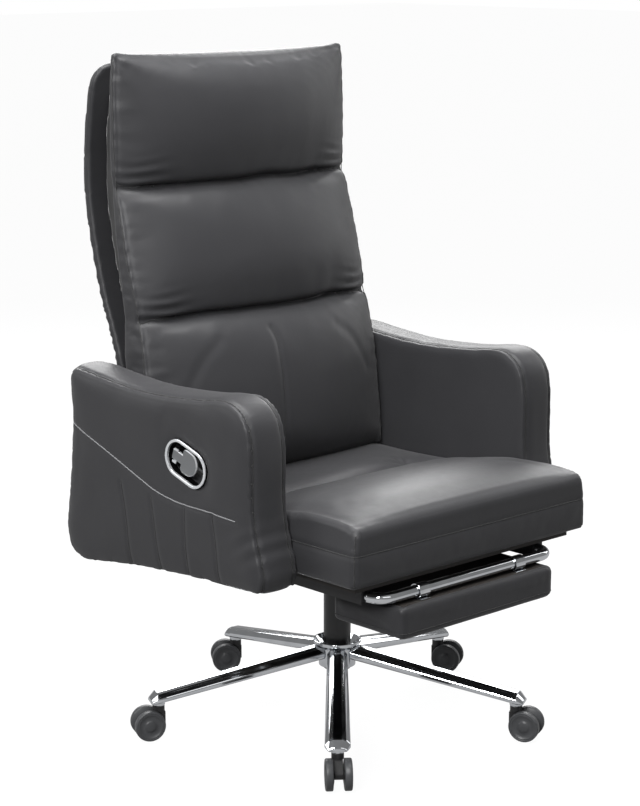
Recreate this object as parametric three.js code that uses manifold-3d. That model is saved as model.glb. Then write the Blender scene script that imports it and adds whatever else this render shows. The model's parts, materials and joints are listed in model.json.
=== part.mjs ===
// Reclining office chair with a flip-over footrest, in millimetres.
// The column axis is vertical and the sitter faces the negative Y direction.
// Each mesh is one physical piece. Pieces that move together sit in one group.
import * as THREE from "three";
import { mergeVertices } from "three/addons/utils/BufferGeometryUtils.js";
import Module from "manifold-3d";

const wasm = await Module();
wasm.setup();

// Fits
const fit = 0.3;
const overrun = 2;
const sideFit = 2;

// Flat sides round the turned and bored parts
const hubSides = 40;
const columnSides = 36;
const boreSides = 28;
const barSides = 24;
const shaftSides = 20;
const pinSides = 16;
const rodSides = 12;
const arcSteps = 10;
const smallArcSteps = 8;
const webArcSteps = 6;
const padArcSteps = 4;

// Height of the seat board's seating face, which everything above the base follows
const seatBase = 377;

// Casters: the base's heights follow from the top of their necks
const wheelRadius = 28;
const wheelHeadroom = 5;
const casterHeight = 2 * wheelRadius + wheelHeadroom;
const wheelWidth = 12;
const wheelSpace = 22;
const wheelChamfer = 1.6;
const wheelDish = 1;
const wheelRimBand = 4;
const wheelSides = 24;
const casterTrail = 20;
const casterTurns = [231, 295, 300, 145, 156];
const swivelStemRadius = 5;
const swivelStemLength = 30;
const stemSeatDepth = 12;
const neckRadius = wheelSpace / 2;
const neckHeight = 11;
const housingWidth = 16.5;
const housingDrop = 24;
const axleBossRadius = 9;
const axleRadius = 3;
const axleGrip = 8;

// Swivel base
const legCount = 5;
const firstLegTurn = -133.3;
const stemCircle = 340;
const hubRadius = 34;
const hubRise = 43;
const hubBottom = casterHeight + hubRise;
const hubHeight = 49;
const rimRadius = 44;
const rimWall = 2;
const rimDrop = 6;
const collarDrop = 14;
const funnelDepth = 18;
const legRootLap = 4;
const legTipReach = 16;
const noseLength = 11;
const legRootRise = 83;
const legTipRise = 26;
const legRootHeight = 24;
const legTipHeight = 18;
const legRootWidth = 38;
const legTipWidth = 45;
const bossRadius = 12;

// Seat board and the mechanism plate under it
const boardThickness = 12;
const boardInset = 24;
const plateWidth = 290;
const plateLength = 180;
const plateThickness = 3;
const housingBoxWidth = 120;
const housingBoxLength = 160;
const housingBoxDepth = 34;
const housingWall = 3;
const socketRadius = 24;
const socketDrop = 12;

// Heights under the seat, from the seat board down to the foot of the piston's socket
const boardTop = seatBase - fit;
const boardBottom = boardTop - boardThickness;
const plateTop = boardBottom - fit;
const plateBottom = plateTop - plateThickness;
const skirtBottom = plateTop - housingBoxDepth;
const socketBottom = skirtBottom - socketDrop;

// Gas column
const columnRadius = 25;
const columnFootDrop = 6;
const columnBottom = hubBottom - columnFootDrop;
const columnHeadGap = 6.4;
const columnTop = socketBottom - columnHeadGap;
const columnFloor = 5;
const pistonRadius = 14;
const pistonFootRise = 12;
const pistonBottom = columnBottom + pistonFootRise;
const pistonHeadDrop = 12.4;
const pistonTop = plateTop - pistonHeadDrop;
const taperLength = 34;
const taperNarrowing = 0.9;

// Height lever
const leverRearGap = 18;
const leverY = housingBoxLength / 2 - leverRearGap;
const leverSideGap = 15;
const leverPivotX = housingBoxWidth / 2 - leverSideGap;
const leverPivotDrop = 18;
const leverPinRadius = 3;
const leverHubWall = 3.5;
const leverHubLength = 14;
const leverRodRadius = 4;
const leverReach = 233;
const leverPaddleLength = 62;
const leverPaddleWidth = 24;
const leverPaddleThickness = 6;
const leverDroop = 3;
const leverSlotHeight = 18;
const leverSlotWidth = 11;

// Seat cushion
const seatWidth = 578;
const seatFront = 345;
const seatLength = 550;
const seatRear = seatLength - seatFront;
const seatThickness = 120;
const seatSeamHeight = 57;
const seatCrown = 15;
const seatFrontRoll = 6;
const seatCornerDraw = 7;
const seatTuftY = -22;
const seatTuftDepth = 9;
const seatTuftSpread = 16;
const seatCrownFlatness = 4;
const seatTuftFlatness = 8;
const seatEdgeShares = [
  [0, 0.8], [0.05, 0.865], [0.14, 0.895], [0.27, 0.867], [0.378, 0.767], [0.47, 0.7],
  [0.564, 0.642], [0.66, 0.6], [0.755, 0.585], [0.855, 0.585], [0.94, 0.595], [1, 0.595],
];
const seatCrownShares = [
  [0, 0.25], [0.06, 0.9], [0.2, 1], [0.5, 0.75], [0.78, 0.45], [0.87, 0.12], [1, 0.05],
];

// Padded arms
const armThickness = 85;
const armFront = 217;
const armLength = 539;
const armDrop = 57;
const armBottom = seatBase - armDrop;
const armHeight = 354;
const armEdgeRoll = 8;
const armInnerRoll = 3;
const armCrown = 3;
const armCrownShares = [0.3, 0.5, 0.7];
const armRollShare = 0.25;
const armTopSteps = 20;
const armFrontSteps = 9;
const armBottomSteps = 14;
const armRearSteps = 7;
const armTopShares = [
  [0.974, 1], [0.903, 0.99], [0.829, 0.977], [0.649, 0.954], [0.471, 0.954], [0.289, 0.977],
  [0.199, 0.997], [0.143, 0.986], [0.096, 0.943], [0.069, 0.876], [0.0575, 0.782],
];
const armFrontShares = [
  [0.0575, 0.782], [0.0575, 0.64], [0.0575, 0.517], [0.046, 0.388], [0.013, 0.23], [0, 0.124],
];
const armBottomShares = [
  [0.0186, 0.106], [0.13, 0.1006], [0.354, 0.086], [0.636, 0.052], [0.86, 0.003],
  [0.915, 0], [0.96, 0.022], [0.987, 0.066], [1, 0.164],
];
const armRearShares = [
  [1, 0.164], [0.986, 0.3], [0.972, 0.448], [0.957, 0.69], [0.959, 0.833], [0.974, 1],
];

// Recline handle let into the arm on the sitter's right
const handleY = -25.3;
const handleRise = 230.3;
const handleHeight = armBottom + handleRise;
const handleTilt = 17.8;
const handleLength = 108;
const handleWidth = 66;
const bezelWidth = 5;
const bezelProud = 3;
const cupWall = 2;
const cupDepth = 26;
const paddleThickness = 4;
const paddleSink = 2;
const paddleHingeInset = 24;
const paddleHingeU = handleLength / 2 - paddleHingeInset;
const paddlePinRadius = 2;
const paddlePinReach = 3;
const lugThickness = 4;
const lugLength = 10;
const tabInset = 14;
const tabEnd = handleLength / 2 - tabInset;
const tabWidth = 18;
const bodyBack = 15;
const bodyFront = 24;
const bodyWidth = 43;
const bodyCorner = 7;

// Back: it stands on the rear of the seat, and its tables run from the cushion's foot to its top
const backFootRise = 4.6;
const backFoot = seatBase + seatEdgeShares.at(-1)[1] * seatThickness + backFootRise;
const backHeight = 764;
const backFootLap = 34;
const backFootY = seatRear - backFootLap;
const backLean = 109;
const backEdgeDepth = 65;
const backFootNarrowing = 6;
const backFootWidth = seatWidth - backFootNarrowing;
const backHeadNarrowing = 22;
const backHeadWidth = seatWidth - backHeadNarrowing;
const backCrown = 42;
const backPuff = 22;
const backFlatness = 2.6;
const backSideDraw = 5;
const backCornerRoll = 6;
const channelShares = [0, 0.39, 0.693, 1];
const rowShares = [0, 0.035, 0.11, 0.25, 0.42, 0.6, 0.76, 0.89, 0.965];
const backLeanShares = [
  [0, 0], [0.192, 0.147], [0.31, 0.275], [0.3835, 0.394], [0.47, 0.541], [0.565, 0.734],
  [0.696, 0.954], [0.847, 0.991], [1, 1],
];
const backEdgeShares = [
  [0, 1], [0.192, 0.892], [0.293, 0.97], [0.368, 0.815], [0.47, 0.615], [0.572, 0.477],
  [0.66, 0.345], [0.75, 0.32], [1, 0.25],
];
const backCrownShares = [
  [0, 0.45], [0.06, 0.8], [0.2, 0.95], [0.693, 1], [0.9, 0.85], [0.97, 0.5], [1, 0.1],
];

// Back shell and core
const shellFootDepth = 108.2;
const shellSweep = 104.8;
const shellThickness = 18;
const shellPadding = 8;
const shellNarrowing = 34;
const shellWidth = seatWidth - shellNarrowing;
const shellCorner = 40;
const shellCornerSteps = 5;
const shellEdgeRoll = 2;
const shellTopDrop = 18;
const shellFootDrop = 23;
const shellRearShares = [
  [-0.03, 0], [0.0877, 0.0163], [0.192, 0.0834], [0.276, 0.1992], [0.355, 0.3984], [0.4346, 0.6281],
  [0.559, 0.8659], [0.671, 1], [0.767, 1], [0.83, 0.9533], [0.929, 0.8191], [0.976, 0.7155],
];
const coreNarrowing = 74;
const coreWidth = shellWidth - coreNarrowing;
const coreFootRow = 1;
const coreHeadRows = 3;

// Recline hinge
const pivotBehindSeat = 35;
const pivotY = seatRear + pivotBehindSeat;
const pivotRise = 23;
const pivotHeight = seatBase + pivotRise;
const hingeBarShares = [0, 0.06, 0.12, 0.192];
const shaftRadius = 7;
const shaftEnd = 3;
const hingeEyeRadius = 16;
const hingeBarThickness = 5;
const hingeBarMargin = 1.5;
const hingeEarThickness = 4;
const hingeFlangeLength = 126;
const hingeFlangeWidth = 44;
const strutLeverRadius = 50;
const strutLeverLag = 20;
const strutLeverThickness = 6;
const strutLeverWidth = 16;

// Arm brackets, in front of the hinge brackets
const armBracketGap = 10;
const armBracketLength = 160;
const armBracketRear = pivotY + hingeEyeRadius - hingeFlangeLength - armBracketGap;
const armBracketFront = armBracketRear - armBracketLength;
const armBracketLap = 54;
const armBracketDepth = 20;
const bracketThickness = 4;

// Recline lock strut
const strutInset = 15;
const strutX = plateWidth / 2 - strutInset;
const strutFrontY = -62;
const strutBarrelShort = 112;
const strutBarrelEnd = pivotY - strutBarrelShort;
const strutBarrelRadius = 9.5;
const strutRodRadius = 4.5;
const strutPinRadius = 4;
const strutPinGrip = 9;
const strutEarRadius = 8;
const strutBoreFloor = 24;
const strutRodTail = 61;
const strutDrop = 13;
const forkTine = 5;
const forkHeight = 18;
const forkLength = 34;
const forkBlock = 10;
const forkSlotSlack = 0.7;
const forkSlotRise = 4;

// Footrest
const railNarrowing = 152;
const railSpan = seatWidth - railNarrowing;
const railRadius = 10;
const railRear = 40;
const railBend = 30;
const railBendSteps = 6;
const railSides = 14;
const barInset = 15;
const barY = barInset - seatFront;
const barDrop = 33;
const barHeight = seatBase - barDrop;
const guideWidth = 27;
const guideFrontGap = 3;
const guideFront = barY + railBend + guideFrontGap;
const guideLength = 232;
const guideLip = 2.5;
const guideSlot = 11;
const footPadNarrowing = 48;
const footPadWidth = railSpan - footPadNarrowing;
const footPadOverhang = 13;
const footPadFront = -seatFront - footPadOverhang;
const footPadLength = 170;
const footPadGap = 3;
const footPadTop = barHeight - railRadius - footPadGap;
const footPadThickness = 58;
const footPadBottom = footPadTop - footPadThickness;
const footPadRoll = 12;
const footPadCrown = 4;
const footPadEndFlatness = 60;
const footPadRim = 12;
const footBoardThickness = 6;
const clipInset = 69;
const clipX = footPadWidth / 2 - clipInset;
const clipWidth = 24;
const clipWall = 2.4;
const clipFit = 0.6;
const clipPlate = 2;
const clipPlateRear = 26;

// Colours, roughness and metalness of the finishes
const finishes = {
  leather: [0x3b3b3d, 0.5, 0],
  blackLeather: [0x2c2c2e, 0.55, 0],
  chrome: [0xd8dadc, 0.12, 1],
  blackPlastic: [0x1f1f20, 0.5, 0],
  greyPlastic: [0x6c6c6c, 0.45, 0],
  blackSteel: [0x232324, 0.45, 0.6],
  columnPaint: [0x2b2b2b, 0.4, 0.2],
  plywood: [0x2b2724, 0.7, 0],
  foam: [0x1c1c1c, 0.9, 0],
};

// Helpers
const degrees = Math.PI / 180;

function solid(geometry) {
  const bare = geometry.clone();
  bare.deleteAttribute("normal");
  bare.deleteAttribute("uv");
  const merged = mergeVertices(bare);
  const vertProperties = new Float32Array(merged.attributes.position.array);
  const triVerts = new Uint32Array(merged.index.array);
  return new wasm.Manifold(new wasm.Mesh({ numProp: 3, vertProperties, triVerts }));
}

function geometryOf(manifold) {
  const mesh = manifold.getMesh();
  const geometry = new THREE.BufferGeometry();
  const points = new Float32Array(mesh.vertProperties);
  geometry.setAttribute("position", new THREE.BufferAttribute(points, mesh.numProp));
  geometry.setIndex(new THREE.BufferAttribute(new Uint32Array(mesh.triVerts), 1));
  return geometry;
}

function cut(geometry, ...tools) {
  return geometryOf(tools.reduce((body, tool) => body.subtract(solid(tool)), solid(geometry)));
}

function join(geometry, ...others) {
  return geometryOf(others.reduce((body, other) => body.add(solid(other)), solid(geometry)));
}

// Value of a table of [share, value] rows at a share, along a smooth curve through the rows.
function smooth(table, share) {
  const last = table.length - 1;
  const slope = (i) => {
    const a = table[Math.max(i - 1, 0)];
    const b = table[Math.min(i + 1, last)];
    return (b[1] - a[1]) / (b[0] - a[0]);
  };
  let i = 0;
  while (i < last - 1 && share > table[i + 1][0]) i += 1;
  const span = table[i + 1][0] - table[i][0];
  const t = Math.min(Math.max((share - table[i][0]) / span, 0), 1);
  const rise = table[i + 1][1] - table[i][1];
  const bend = slope(i) * span * (1 - t) - slope(i + 1) * span * t;
  const ease = t ** 2 * (1 + 2 * (1 - t));
  return table[i][1] + rise * ease + t * (1 - t) * bend;
}

// Closed body through rings of points, each ring with as many points as the next.
function loft(rings) {
  const size = rings[0].length;
  const positions = rings.flat().flatMap((p) => [p.x, p.y, p.z]);
  const index = [];
  for (let r = 0; r < rings.length - 1; r += 1) {
    for (let i = 0; i < size; i += 1) {
      const a = r * size + i;
      const b = r * size + ((i + 1) % size);
      index.push(a, b, b + size, a, b + size, a + size);
    }
  }
  index.push(...capIndex(rings[0], 0, true));
  index.push(...capIndex(rings[rings.length - 1], (rings.length - 1) * size, false));
  const geometry = new THREE.BufferGeometry();
  geometry.setAttribute("position", new THREE.Float32BufferAttribute(positions, 3));
  geometry.setIndex(index);
  return faceOut(geometry);
}

// Triangles that close a ring, seen along the axis across which the ring is flattest.
function capIndex(ring, start, reverse) {
  const box = new THREE.Box3().setFromPoints(ring);
  const size = box.getSize(new THREE.Vector3());
  const flat = ["x", "y", "z"].reduce((a, b) => (size[b] < size[a] ? b : a));
  const [u, v] = { x: ["y", "z"], y: ["z", "x"], z: ["x", "y"] }[flat];
  const outline = ring.map((p) => new THREE.Vector2(p[u], p[v]));
  const clockwise = THREE.ShapeUtils.isClockWise(outline);
  const order = clockwise ? outline.map((_, i) => outline.length - 1 - i) : outline.map((_, i) => i);
  const faces = THREE.ShapeUtils.triangulateShape(order.map((i) => outline[i]), []);
  return faces.flatMap((face) => {
    const corners = face.map((i) => start + order[i]);
    return clockwise !== reverse ? corners.reverse() : corners;
  });
}

// Turns every face over when the enclosed volume comes out negative.
function faceOut(geometry) {
  const p = geometry.attributes.position;
  const index = geometry.index.array;
  const corner = (i) => new THREE.Vector3().fromBufferAttribute(p, index[i]);
  let volume = 0;
  for (let i = 0; i < index.length; i += 3) {
    volume += corner(i).dot(corner(i + 1).cross(corner(i + 2)));
  }
  if (volume < 0) index.reverse();
  return geometry;
}

function box(x0, x1, y0, y1, z0, z1) {
  const geometry = new THREE.BoxGeometry(x1 - x0, y1 - y0, z1 - z0);
  return geometry.translate((x0 + x1) / 2, (y0 + y1) / 2, (z0 + z1) / 2);
}

// Round bars along each axis, from one end to the other.
function barAlongZ(radius, z0, z1, sides = barSides) {
  const geometry = new THREE.CylinderGeometry(radius, radius, z1 - z0, sides);
  return geometry.rotateX(Math.PI / 2).translate(0, 0, (z0 + z1) / 2);
}

function barAlongX(radius, x0, x1, y, z, sides = barSides) {
  const geometry = new THREE.CylinderGeometry(radius, radius, x1 - x0, sides);
  return geometry.rotateZ(Math.PI / 2).translate((x0 + x1) / 2, y, z);
}

function barAlongY(radius, y0, y1, x, z, sides = barSides) {
  const geometry = new THREE.CylinderGeometry(radius, radius, y1 - y0, sides);
  return geometry.translate(x, (y0 + y1) / 2, z);
}

// Body turned about the vertical axis from [radius, height] points.
function turned(points, sides) {
  const geometry = new THREE.LatheGeometry(points.map(([r, z]) => new THREE.Vector2(r, z)), sides);
  return faceOut(indexed(geometry.rotateX(Math.PI / 2)));
}

function indexed(geometry) {
  geometry.deleteAttribute("normal");
  geometry.deleteAttribute("uv");
  return dropFlatFaces(mergeVertices(geometry));
}

// A turned profile that reaches the axis leaves faces with two corners in one place.
function dropFlatFaces(geometry) {
  const kept = [];
  const index = geometry.index.array;
  for (let i = 0; i < index.length; i += 3) {
    const [a, b, c] = index.slice(i, i + 3);
    if (a !== b && b !== c && c !== a) kept.push(a, b, c);
  }
  geometry.setIndex(kept);
  return geometry;
}

// Straight prism over a flat shape.
function prism(shape, depth, curveSegments) {
  return new THREE.ExtrudeGeometry(shape, { depth, bevelEnabled: false, curveSegments });
}

// Turns a body drawn flat so that its sides lie along Y and Z and its depth along X.
function standUp(geometry) {
  return geometry.applyMatrix4(new THREE.Matrix4().makeBasis(
    new THREE.Vector3(0, 1, 0),
    new THREE.Vector3(0, 0, 1),
    new THREE.Vector3(1, 0, 0),
  ));
}

// Plate with an outline drawn along Y and Z, from x0 to x1.
function sidePlate(shape, x0, x1) {
  return standUp(prism(shape, x1 - x0, arcSteps)).translate(x0, 0, 0);
}

// Points moved along the outline's outward normals.
function offsetOutline(points, distance) {
  const n = points.length;
  return points.map((p, i) => {
    const before = points[(i + n - 1) % n];
    const after = points[(i + 1) % n];
    const along = new THREE.Vector2().subVectors(after, before).normalize();
    return new THREE.Vector2(p.x + along.y * distance, p.y - along.x * distance);
  });
}

function named(name, geometry, finish) {
  const [color, roughness, metalness] = finishes[finish];
  const material = new THREE.MeshStandardMaterial({ color, roughness, metalness });
  const mesh = new THREE.Mesh(geometry, material);
  mesh.name = name;
  return mesh;
}

function group(...children) {
  const holder = new THREE.Group();
  holder.add(...children);
  return holder;
}

// Swivel base
function hub() {
  const bore = columnRadius + fit;
  const top = hubBottom + hubHeight;
  return turned([
    [bore, hubBottom],
    [hubRadius, hubBottom],
    [hubRadius, top - collarDrop],
    [rimRadius, top - rimDrop],
    [rimRadius, top],
    [rimRadius - rimWall, top],
    [hubRadius - rimWall, top - collarDrop],
    [bore, top - funnelDepth],
    [bore, hubBottom],
  ], hubSides);
}

// The hub's outline, grown by the fit, as the tool that trims the legs' roots.
function hubRoom() {
  const top = hubBottom + hubHeight;
  return turned([
    [0, hubBottom - overrun],
    [hubRadius + fit, hubBottom - overrun],
    [hubRadius + fit, top - collarDrop - fit],
    [rimRadius + fit, top - rimDrop - fit],
    [rimRadius + fit, top + overrun],
    [0, top + overrun],
  ], hubSides);
}

const legSectionShares = [
  [-0.84, 0], [0.84, 0], [1, 0.16], [0.98, 0.48], [0.66, 0.88], [0.34, 1],
  [-0.34, 1], [-0.66, 0.88], [-0.98, 0.48], [-1, 0.16],
];
const noseWidthShare = 0.72;
const noseHeightShare = 0.4;

function legHeights(x) {
  const share = (x - hubRadius) / (stemCircle - hubRadius);
  const top = casterHeight + legRootRise + (legTipRise - legRootRise) * share;
  const height = legRootHeight + (legTipHeight - legRootHeight) * share;
  const width = legRootWidth + (legTipWidth - legRootWidth) * share;
  return { bottom: top - height, height, width };
}

function legRing(x, widthShare, heightShare) {
  const { bottom, height, width } = legHeights(x);
  return legSectionShares.map(([s, h]) => new THREE.Vector3(
    x,
    (s * widthShare * width) / 2,
    bottom + h * heightShare * height,
  ));
}

function leg() {
  const body = loft([
    legRing(hubRadius - legRootLap, 1, 1),
    legRing(stemCircle - bossRadius, 1, 1),
    legRing(stemCircle + legTipReach - noseLength, 1, 1),
    legRing(stemCircle + legTipReach, noseWidthShare, noseHeightShare),
  ]);
  const { bottom, height } = legHeights(stemCircle);
  const boss = barAlongZ(bossRadius, casterHeight, bottom + height / 2).translate(stemCircle, 0, 0);
  const boreTop = casterHeight + swivelStemLength - stemSeatDepth;
  const bore = barAlongZ(swivelStemRadius + fit, casterHeight - overrun, boreTop);
  return cut(join(body, boss), bore.translate(stemCircle, 0, 0), hubRoom());
}

// Casters, each about its own stem axis with the wheels trailing along +X
function casterStem() {
  const top = casterHeight + swivelStemLength - stemSeatDepth - fit;
  const bottom = casterHeight - stemSeatDepth;
  return barAlongZ(swivelStemRadius, bottom, top, pinSides);
}

function casterHousing() {
  const top = casterHeight - fit;
  const neckFoot = top - neckHeight;
  const shape = new THREE.Shape();
  shape.moveTo(-neckRadius, neckFoot + fit);
  shape.lineTo(-neckRadius, housingDrop);
  shape.lineTo(casterTrail - axleBossRadius, wheelRadius - axleBossRadius);
  shape.absarc(casterTrail, wheelRadius, axleBossRadius, -Math.PI / 2, Math.PI / 4, false);
  shape.lineTo(neckRadius, neckFoot + fit);
  const web = prism(shape, housingWidth, webArcSteps);
  web.rotateX(Math.PI / 2).translate(0, housingWidth / 2, 0);
  const neck = barAlongZ(neckRadius, neckFoot, top);
  const bossEnd = wheelSpace / 2 - fit;
  const boss = barAlongY(axleBossRadius, -bossEnd, bossEnd, casterTrail, wheelRadius, pinSides);
  const boreFoot = casterHeight - stemSeatDepth - fit;
  const stemBore = barAlongZ(swivelStemRadius + fit, boreFoot, casterHeight + overrun, pinSides);
  const axleBore = barAlongY(axleRadius + fit, -wheelSpace, wheelSpace, casterTrail, wheelRadius, rodSides);
  return cut(join(web, neck, boss), stemBore, axleBore);
}

function casterAxle() {
  const half = wheelSpace / 2 + axleGrip - fit;
  return barAlongY(axleRadius, -half, half, casterTrail, wheelRadius, rodSides);
}

// One wheel: a plain dished disc outside, a blind bore for the axle inside.
function casterWheel(side) {
  const tread = wheelRadius / Math.cos(Math.PI / wheelSides);
  const bore = axleRadius + fit;
  const wheel = turned([
    [0, axleGrip],
    [bore, axleGrip],
    [bore, 0],
    [tread, 0],
    [tread, wheelWidth - wheelChamfer],
    [tread - wheelChamfer, wheelWidth],
    [tread - wheelRimBand, wheelWidth],
    [tread - wheelRimBand - wheelDish, wheelWidth - wheelDish],
    [0, wheelWidth - wheelDish],
  ], wheelSides);
  wheel.rotateZ(Math.PI / wheelSides);
  wheel.translate(0, 0, wheelSpace / 2);
  wheel.rotateX((-side * Math.PI) / 2);
  return wheel.translate(casterTrail, 0, wheelRadius);
}

function caster(k) {
  const number = k + 1;
  const leggedTurn = (firstLegTurn + (360 / legCount) * k) * degrees;
  const assembly = group(
    named(`caster_stem_${number}`, casterStem(), "blackSteel"),
    named(`caster_housing_${number}`, casterHousing(), "blackPlastic"),
    named(`caster_axle_${number}`, casterAxle(), "blackSteel"),
    named(`caster_wheel_${number}a`, casterWheel(1), "greyPlastic"),
    named(`caster_wheel_${number}b`, casterWheel(-1), "greyPlastic"),
  );
  assembly.position.set(stemCircle * Math.cos(leggedTurn), stemCircle * Math.sin(leggedTurn), 0);
  assembly.rotation.z = casterTurns[k] * degrees;
  return assembly;
}

function base() {
  const star = group(named("base_hub", hub(), "chrome"));
  for (let k = 0; k < legCount; k += 1) {
    const mesh = named(`base_leg_${k + 1}`, leg(), "chrome");
    mesh.rotation.z = (firstLegTurn + (360 / legCount) * k) * degrees;
    star.add(mesh, caster(k));
  }
  return star;
}

// Gas column
function column() {
  const bore = pistonRadius + fit;
  return turned([
    [0, columnBottom],
    [columnRadius, columnBottom],
    [columnRadius, columnTop],
    [bore, columnTop],
    [bore, columnBottom + columnFloor],
    [0, columnBottom + columnFloor],
  ], columnSides);
}

function pistonProfile(gap) {
  return [
    [0, pistonBottom],
    [pistonRadius + gap, pistonBottom],
    [pistonRadius + gap, pistonTop - taperLength],
    [pistonRadius + gap - taperNarrowing, pistonTop + gap],
    [0, pistonTop + gap],
  ];
}

// Mechanism: a plate under the seat board with a skirted box and the socket for the piston
const leverHeight = plateTop - leverPivotDrop;
const strutHeight = plateTop - strutDrop;
const strutCheek = strutLeverThickness / 2 + fit + forkTine;

function mechanism() {
  const halfWidth = housingBoxWidth / 2;
  const halfLength = housingBoxLength / 2;
  const plateEnds = [-plateWidth / 2, plateWidth / 2];
  const plate = box(...plateEnds, -plateLength / 2, plateLength / 2, plateBottom, plateTop);
  const skirt = cut(
    box(-halfWidth, halfWidth, -halfLength, halfLength, skirtBottom, plateBottom + fit),
    box(
      housingWall - halfWidth,
      halfWidth - housingWall,
      housingWall - halfLength,
      halfLength - housingWall,
      skirtBottom - overrun,
      plateBottom,
    ),
  );
  const socket = barAlongZ(socketRadius, socketBottom, plateBottom + fit, boreSides);
  const pinEnds = [leverY - leverHubLength, halfLength - fit];
  const leverPin = barAlongY(leverPinRadius, ...pinEnds, -leverPivotX, leverHeight, rodSides);
  const leverSlot = box(
    -halfWidth - overrun,
    overrun - halfWidth + housingWall,
    leverY - leverSlotWidth / 2,
    leverY + leverSlotWidth / 2,
    leverHeight - leverSlotHeight / 2,
    leverHeight + leverSlotHeight / 2,
  );
  const ears = [-1, 1].map((side) => {
    const inner = strutX + side * (strutPinGrip + fit - bracketThickness);
    const outer = strutX + side * (strutPinGrip + fit);
    return strutEar(Math.min(inner, outer), Math.max(inner, outer));
  });
  const body = join(plate, skirt, socket, leverPin, ...ears);
  return cut(body, turned(pistonProfile(fit), boreSides), leverSlot);
}

function strutEar(x0, x1) {
  const radius = strutEarRadius;
  const top = plateBottom + fit;
  const plate = box(x0, x1, strutFrontY - radius, strutFrontY + radius, strutHeight - radius, top);
  const boreEnds = [x0 - overrun, x1 + overrun];
  return cut(plate, barAlongX(strutPinRadius + fit, ...boreEnds, strutFrontY, strutHeight, pinSides));
}

function heightLever() {
  const hubRadiusOut = leverPinRadius + fit + leverHubWall;
  const halfHub = leverHubLength / 2;
  const lever = join(
    barAlongY(hubRadiusOut, -halfHub, halfHub, 0, 0, shaftSides),
    barAlongX(leverRodRadius, leverPaddleLength / 2 - leverReach, -leverPinRadius, 0, 0, rodSides),
    leverPaddle(),
  );
  const bored = cut(lever, barAlongY(leverPinRadius + fit, -leverHubLength, leverHubLength, 0, 0, pinSides));
  bored.rotateY(-leverDroop * degrees);
  return bored.translate(-leverPivotX, leverY, leverHeight);
}

function leverPaddle() {
  const shape = new THREE.Shape();
  const halfWidth = leverPaddleWidth / 2;
  const root = leverPaddleLength - leverReach;
  shape.moveTo(root, leverRodRadius);
  shape.lineTo(root - halfWidth, halfWidth);
  shape.lineTo(halfWidth - leverReach, halfWidth);
  shape.absarc(halfWidth - leverReach, 0, halfWidth, Math.PI / 2, (3 * Math.PI) / 2, false);
  shape.lineTo(root - halfWidth, -halfWidth);
  shape.lineTo(root, -leverRodRadius);
  return prism(shape, leverPaddleThickness, smallArcSteps).translate(0, 0, -leverPaddleThickness / 2);
}

// Seat
function seatBoard() {
  const half = seatWidth / 2 - boardInset;
  return box(-half, half, boardInset - seatFront, seatRear, boardBottom, boardTop);
}

// Height of the seat's top above its underside, by shares of its length and half width.
function seatTop(lengthShare, widthShare) {
  const edge = smooth(seatEdgeShares, lengthShare) * seatThickness;
  const fullness = smooth(seatCrownShares, lengthShare) * seatCrown;
  const crown = fullness * (1 - widthShare ** seatCrownFlatness);
  const fromTuft = (lengthShare * seatLength - seatFront - seatTuftY) / seatTuftSpread;
  const tuft = seatTuftDepth * Math.exp(-fromTuft * fromTuft) * (1 - widthShare ** seatTuftFlatness);
  return edge + crown - tuft;
}

const seatAcrossShares = [-1, -0.88, -0.72, -0.5, -0.25, 0, 0.25, 0.5, 0.72, 0.88, 1];
const seatAlongShares = [
  0, 0.012, 0.04, 0.09, 0.16, 0.24, 0.33, 0.42, 0.5, 0.54,
  0.565, 0.588, 0.61, 0.65, 0.73, 0.82, 0.91, 0.97, 1,
];

function seatRing(share, inset) {
  const half = seatWidth / 2 - inset;
  const y = share * seatLength - seatFront;
  const point = (x, z) => new THREE.Vector3(x, y, z);
  const across = seatAcrossShares.map((s) => point(
    s * (half - seatCornerDraw),
    seatBase + seatTop(share, s) - inset,
  ));
  return [
    point(-half, seatBase + seatSeamHeight),
    point(-half, seatBase + inset),
    point(half, seatBase + inset),
    point(half, seatBase + seatSeamHeight),
    ...across.reverse(),
  ];
}

function seatCushion() {
  const rings = seatAlongShares.map((share, i) => seatRing(share, i === 0 ? seatFrontRoll : 0));
  return loft(rings);
}

// Padded arms
function armPoint([lengthShare, heightShare]) {
  const y = lengthShare * armLength - armFront;
  return new THREE.Vector2(y, armBottom + heightShare * armHeight);
}

function armOutline() {
  const stretches = [
    [armTopShares, armTopSteps],
    [armFrontShares, armFrontSteps],
    [armBottomShares, armBottomSteps],
    [armRearShares, armRearSteps],
  ];
  return stretches.flatMap(([shares, steps]) => {
    const curve = new THREE.SplineCurve(shares.map(armPoint));
    return curve.getPoints(steps).slice(0, -1);
  }).filter((p, i, all) => i === 0 || p.distanceTo(all[i - 1]) > fit);
}

const armInnerX = seatWidth / 2 + sideFit;
const armOuterX = armInnerX + armThickness;

// Distance out from the outline, by shares of the arm's thickness from its inner face.
function armSection() {
  const inner = armInnerRoll / armThickness;
  const outer = armEdgeRoll / armThickness;
  return [
    [0, -armInnerRoll],
    [inner, 0],
    ...armCrownShares.map((share) => [share, armCrown]),
    [1 - outer, 0],
    [1 - outer * armRollShare, -armEdgeRoll * armRollShare],
    [1, -armEdgeRoll],
  ];
}

function armPad(side) {
  const outline = armOutline();
  const rings = armSection().map(([share, out]) => {
    const x = side * (armInnerX + share * armThickness);
    return offsetOutline(outline, out).map((p) => new THREE.Vector3(x, p.x, p.y));
  });
  return loft(rings);
}

function armBracket(side) {
  const outer = armInnerX - fit;
  const flat = [outer - armBracketLap, outer];
  const upright = [outer - bracketThickness, outer];
  const span = (pair) => (side > 0 ? pair : [-pair[1], -pair[0]]);
  const ends = [armBracketFront, armBracketRear];
  return join(
    box(...span(flat), ...ends, plateTop - bracketThickness, plateTop),
    box(...span(upright), ...ends, plateTop - armBracketDepth, plateTop),
  );
}

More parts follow.
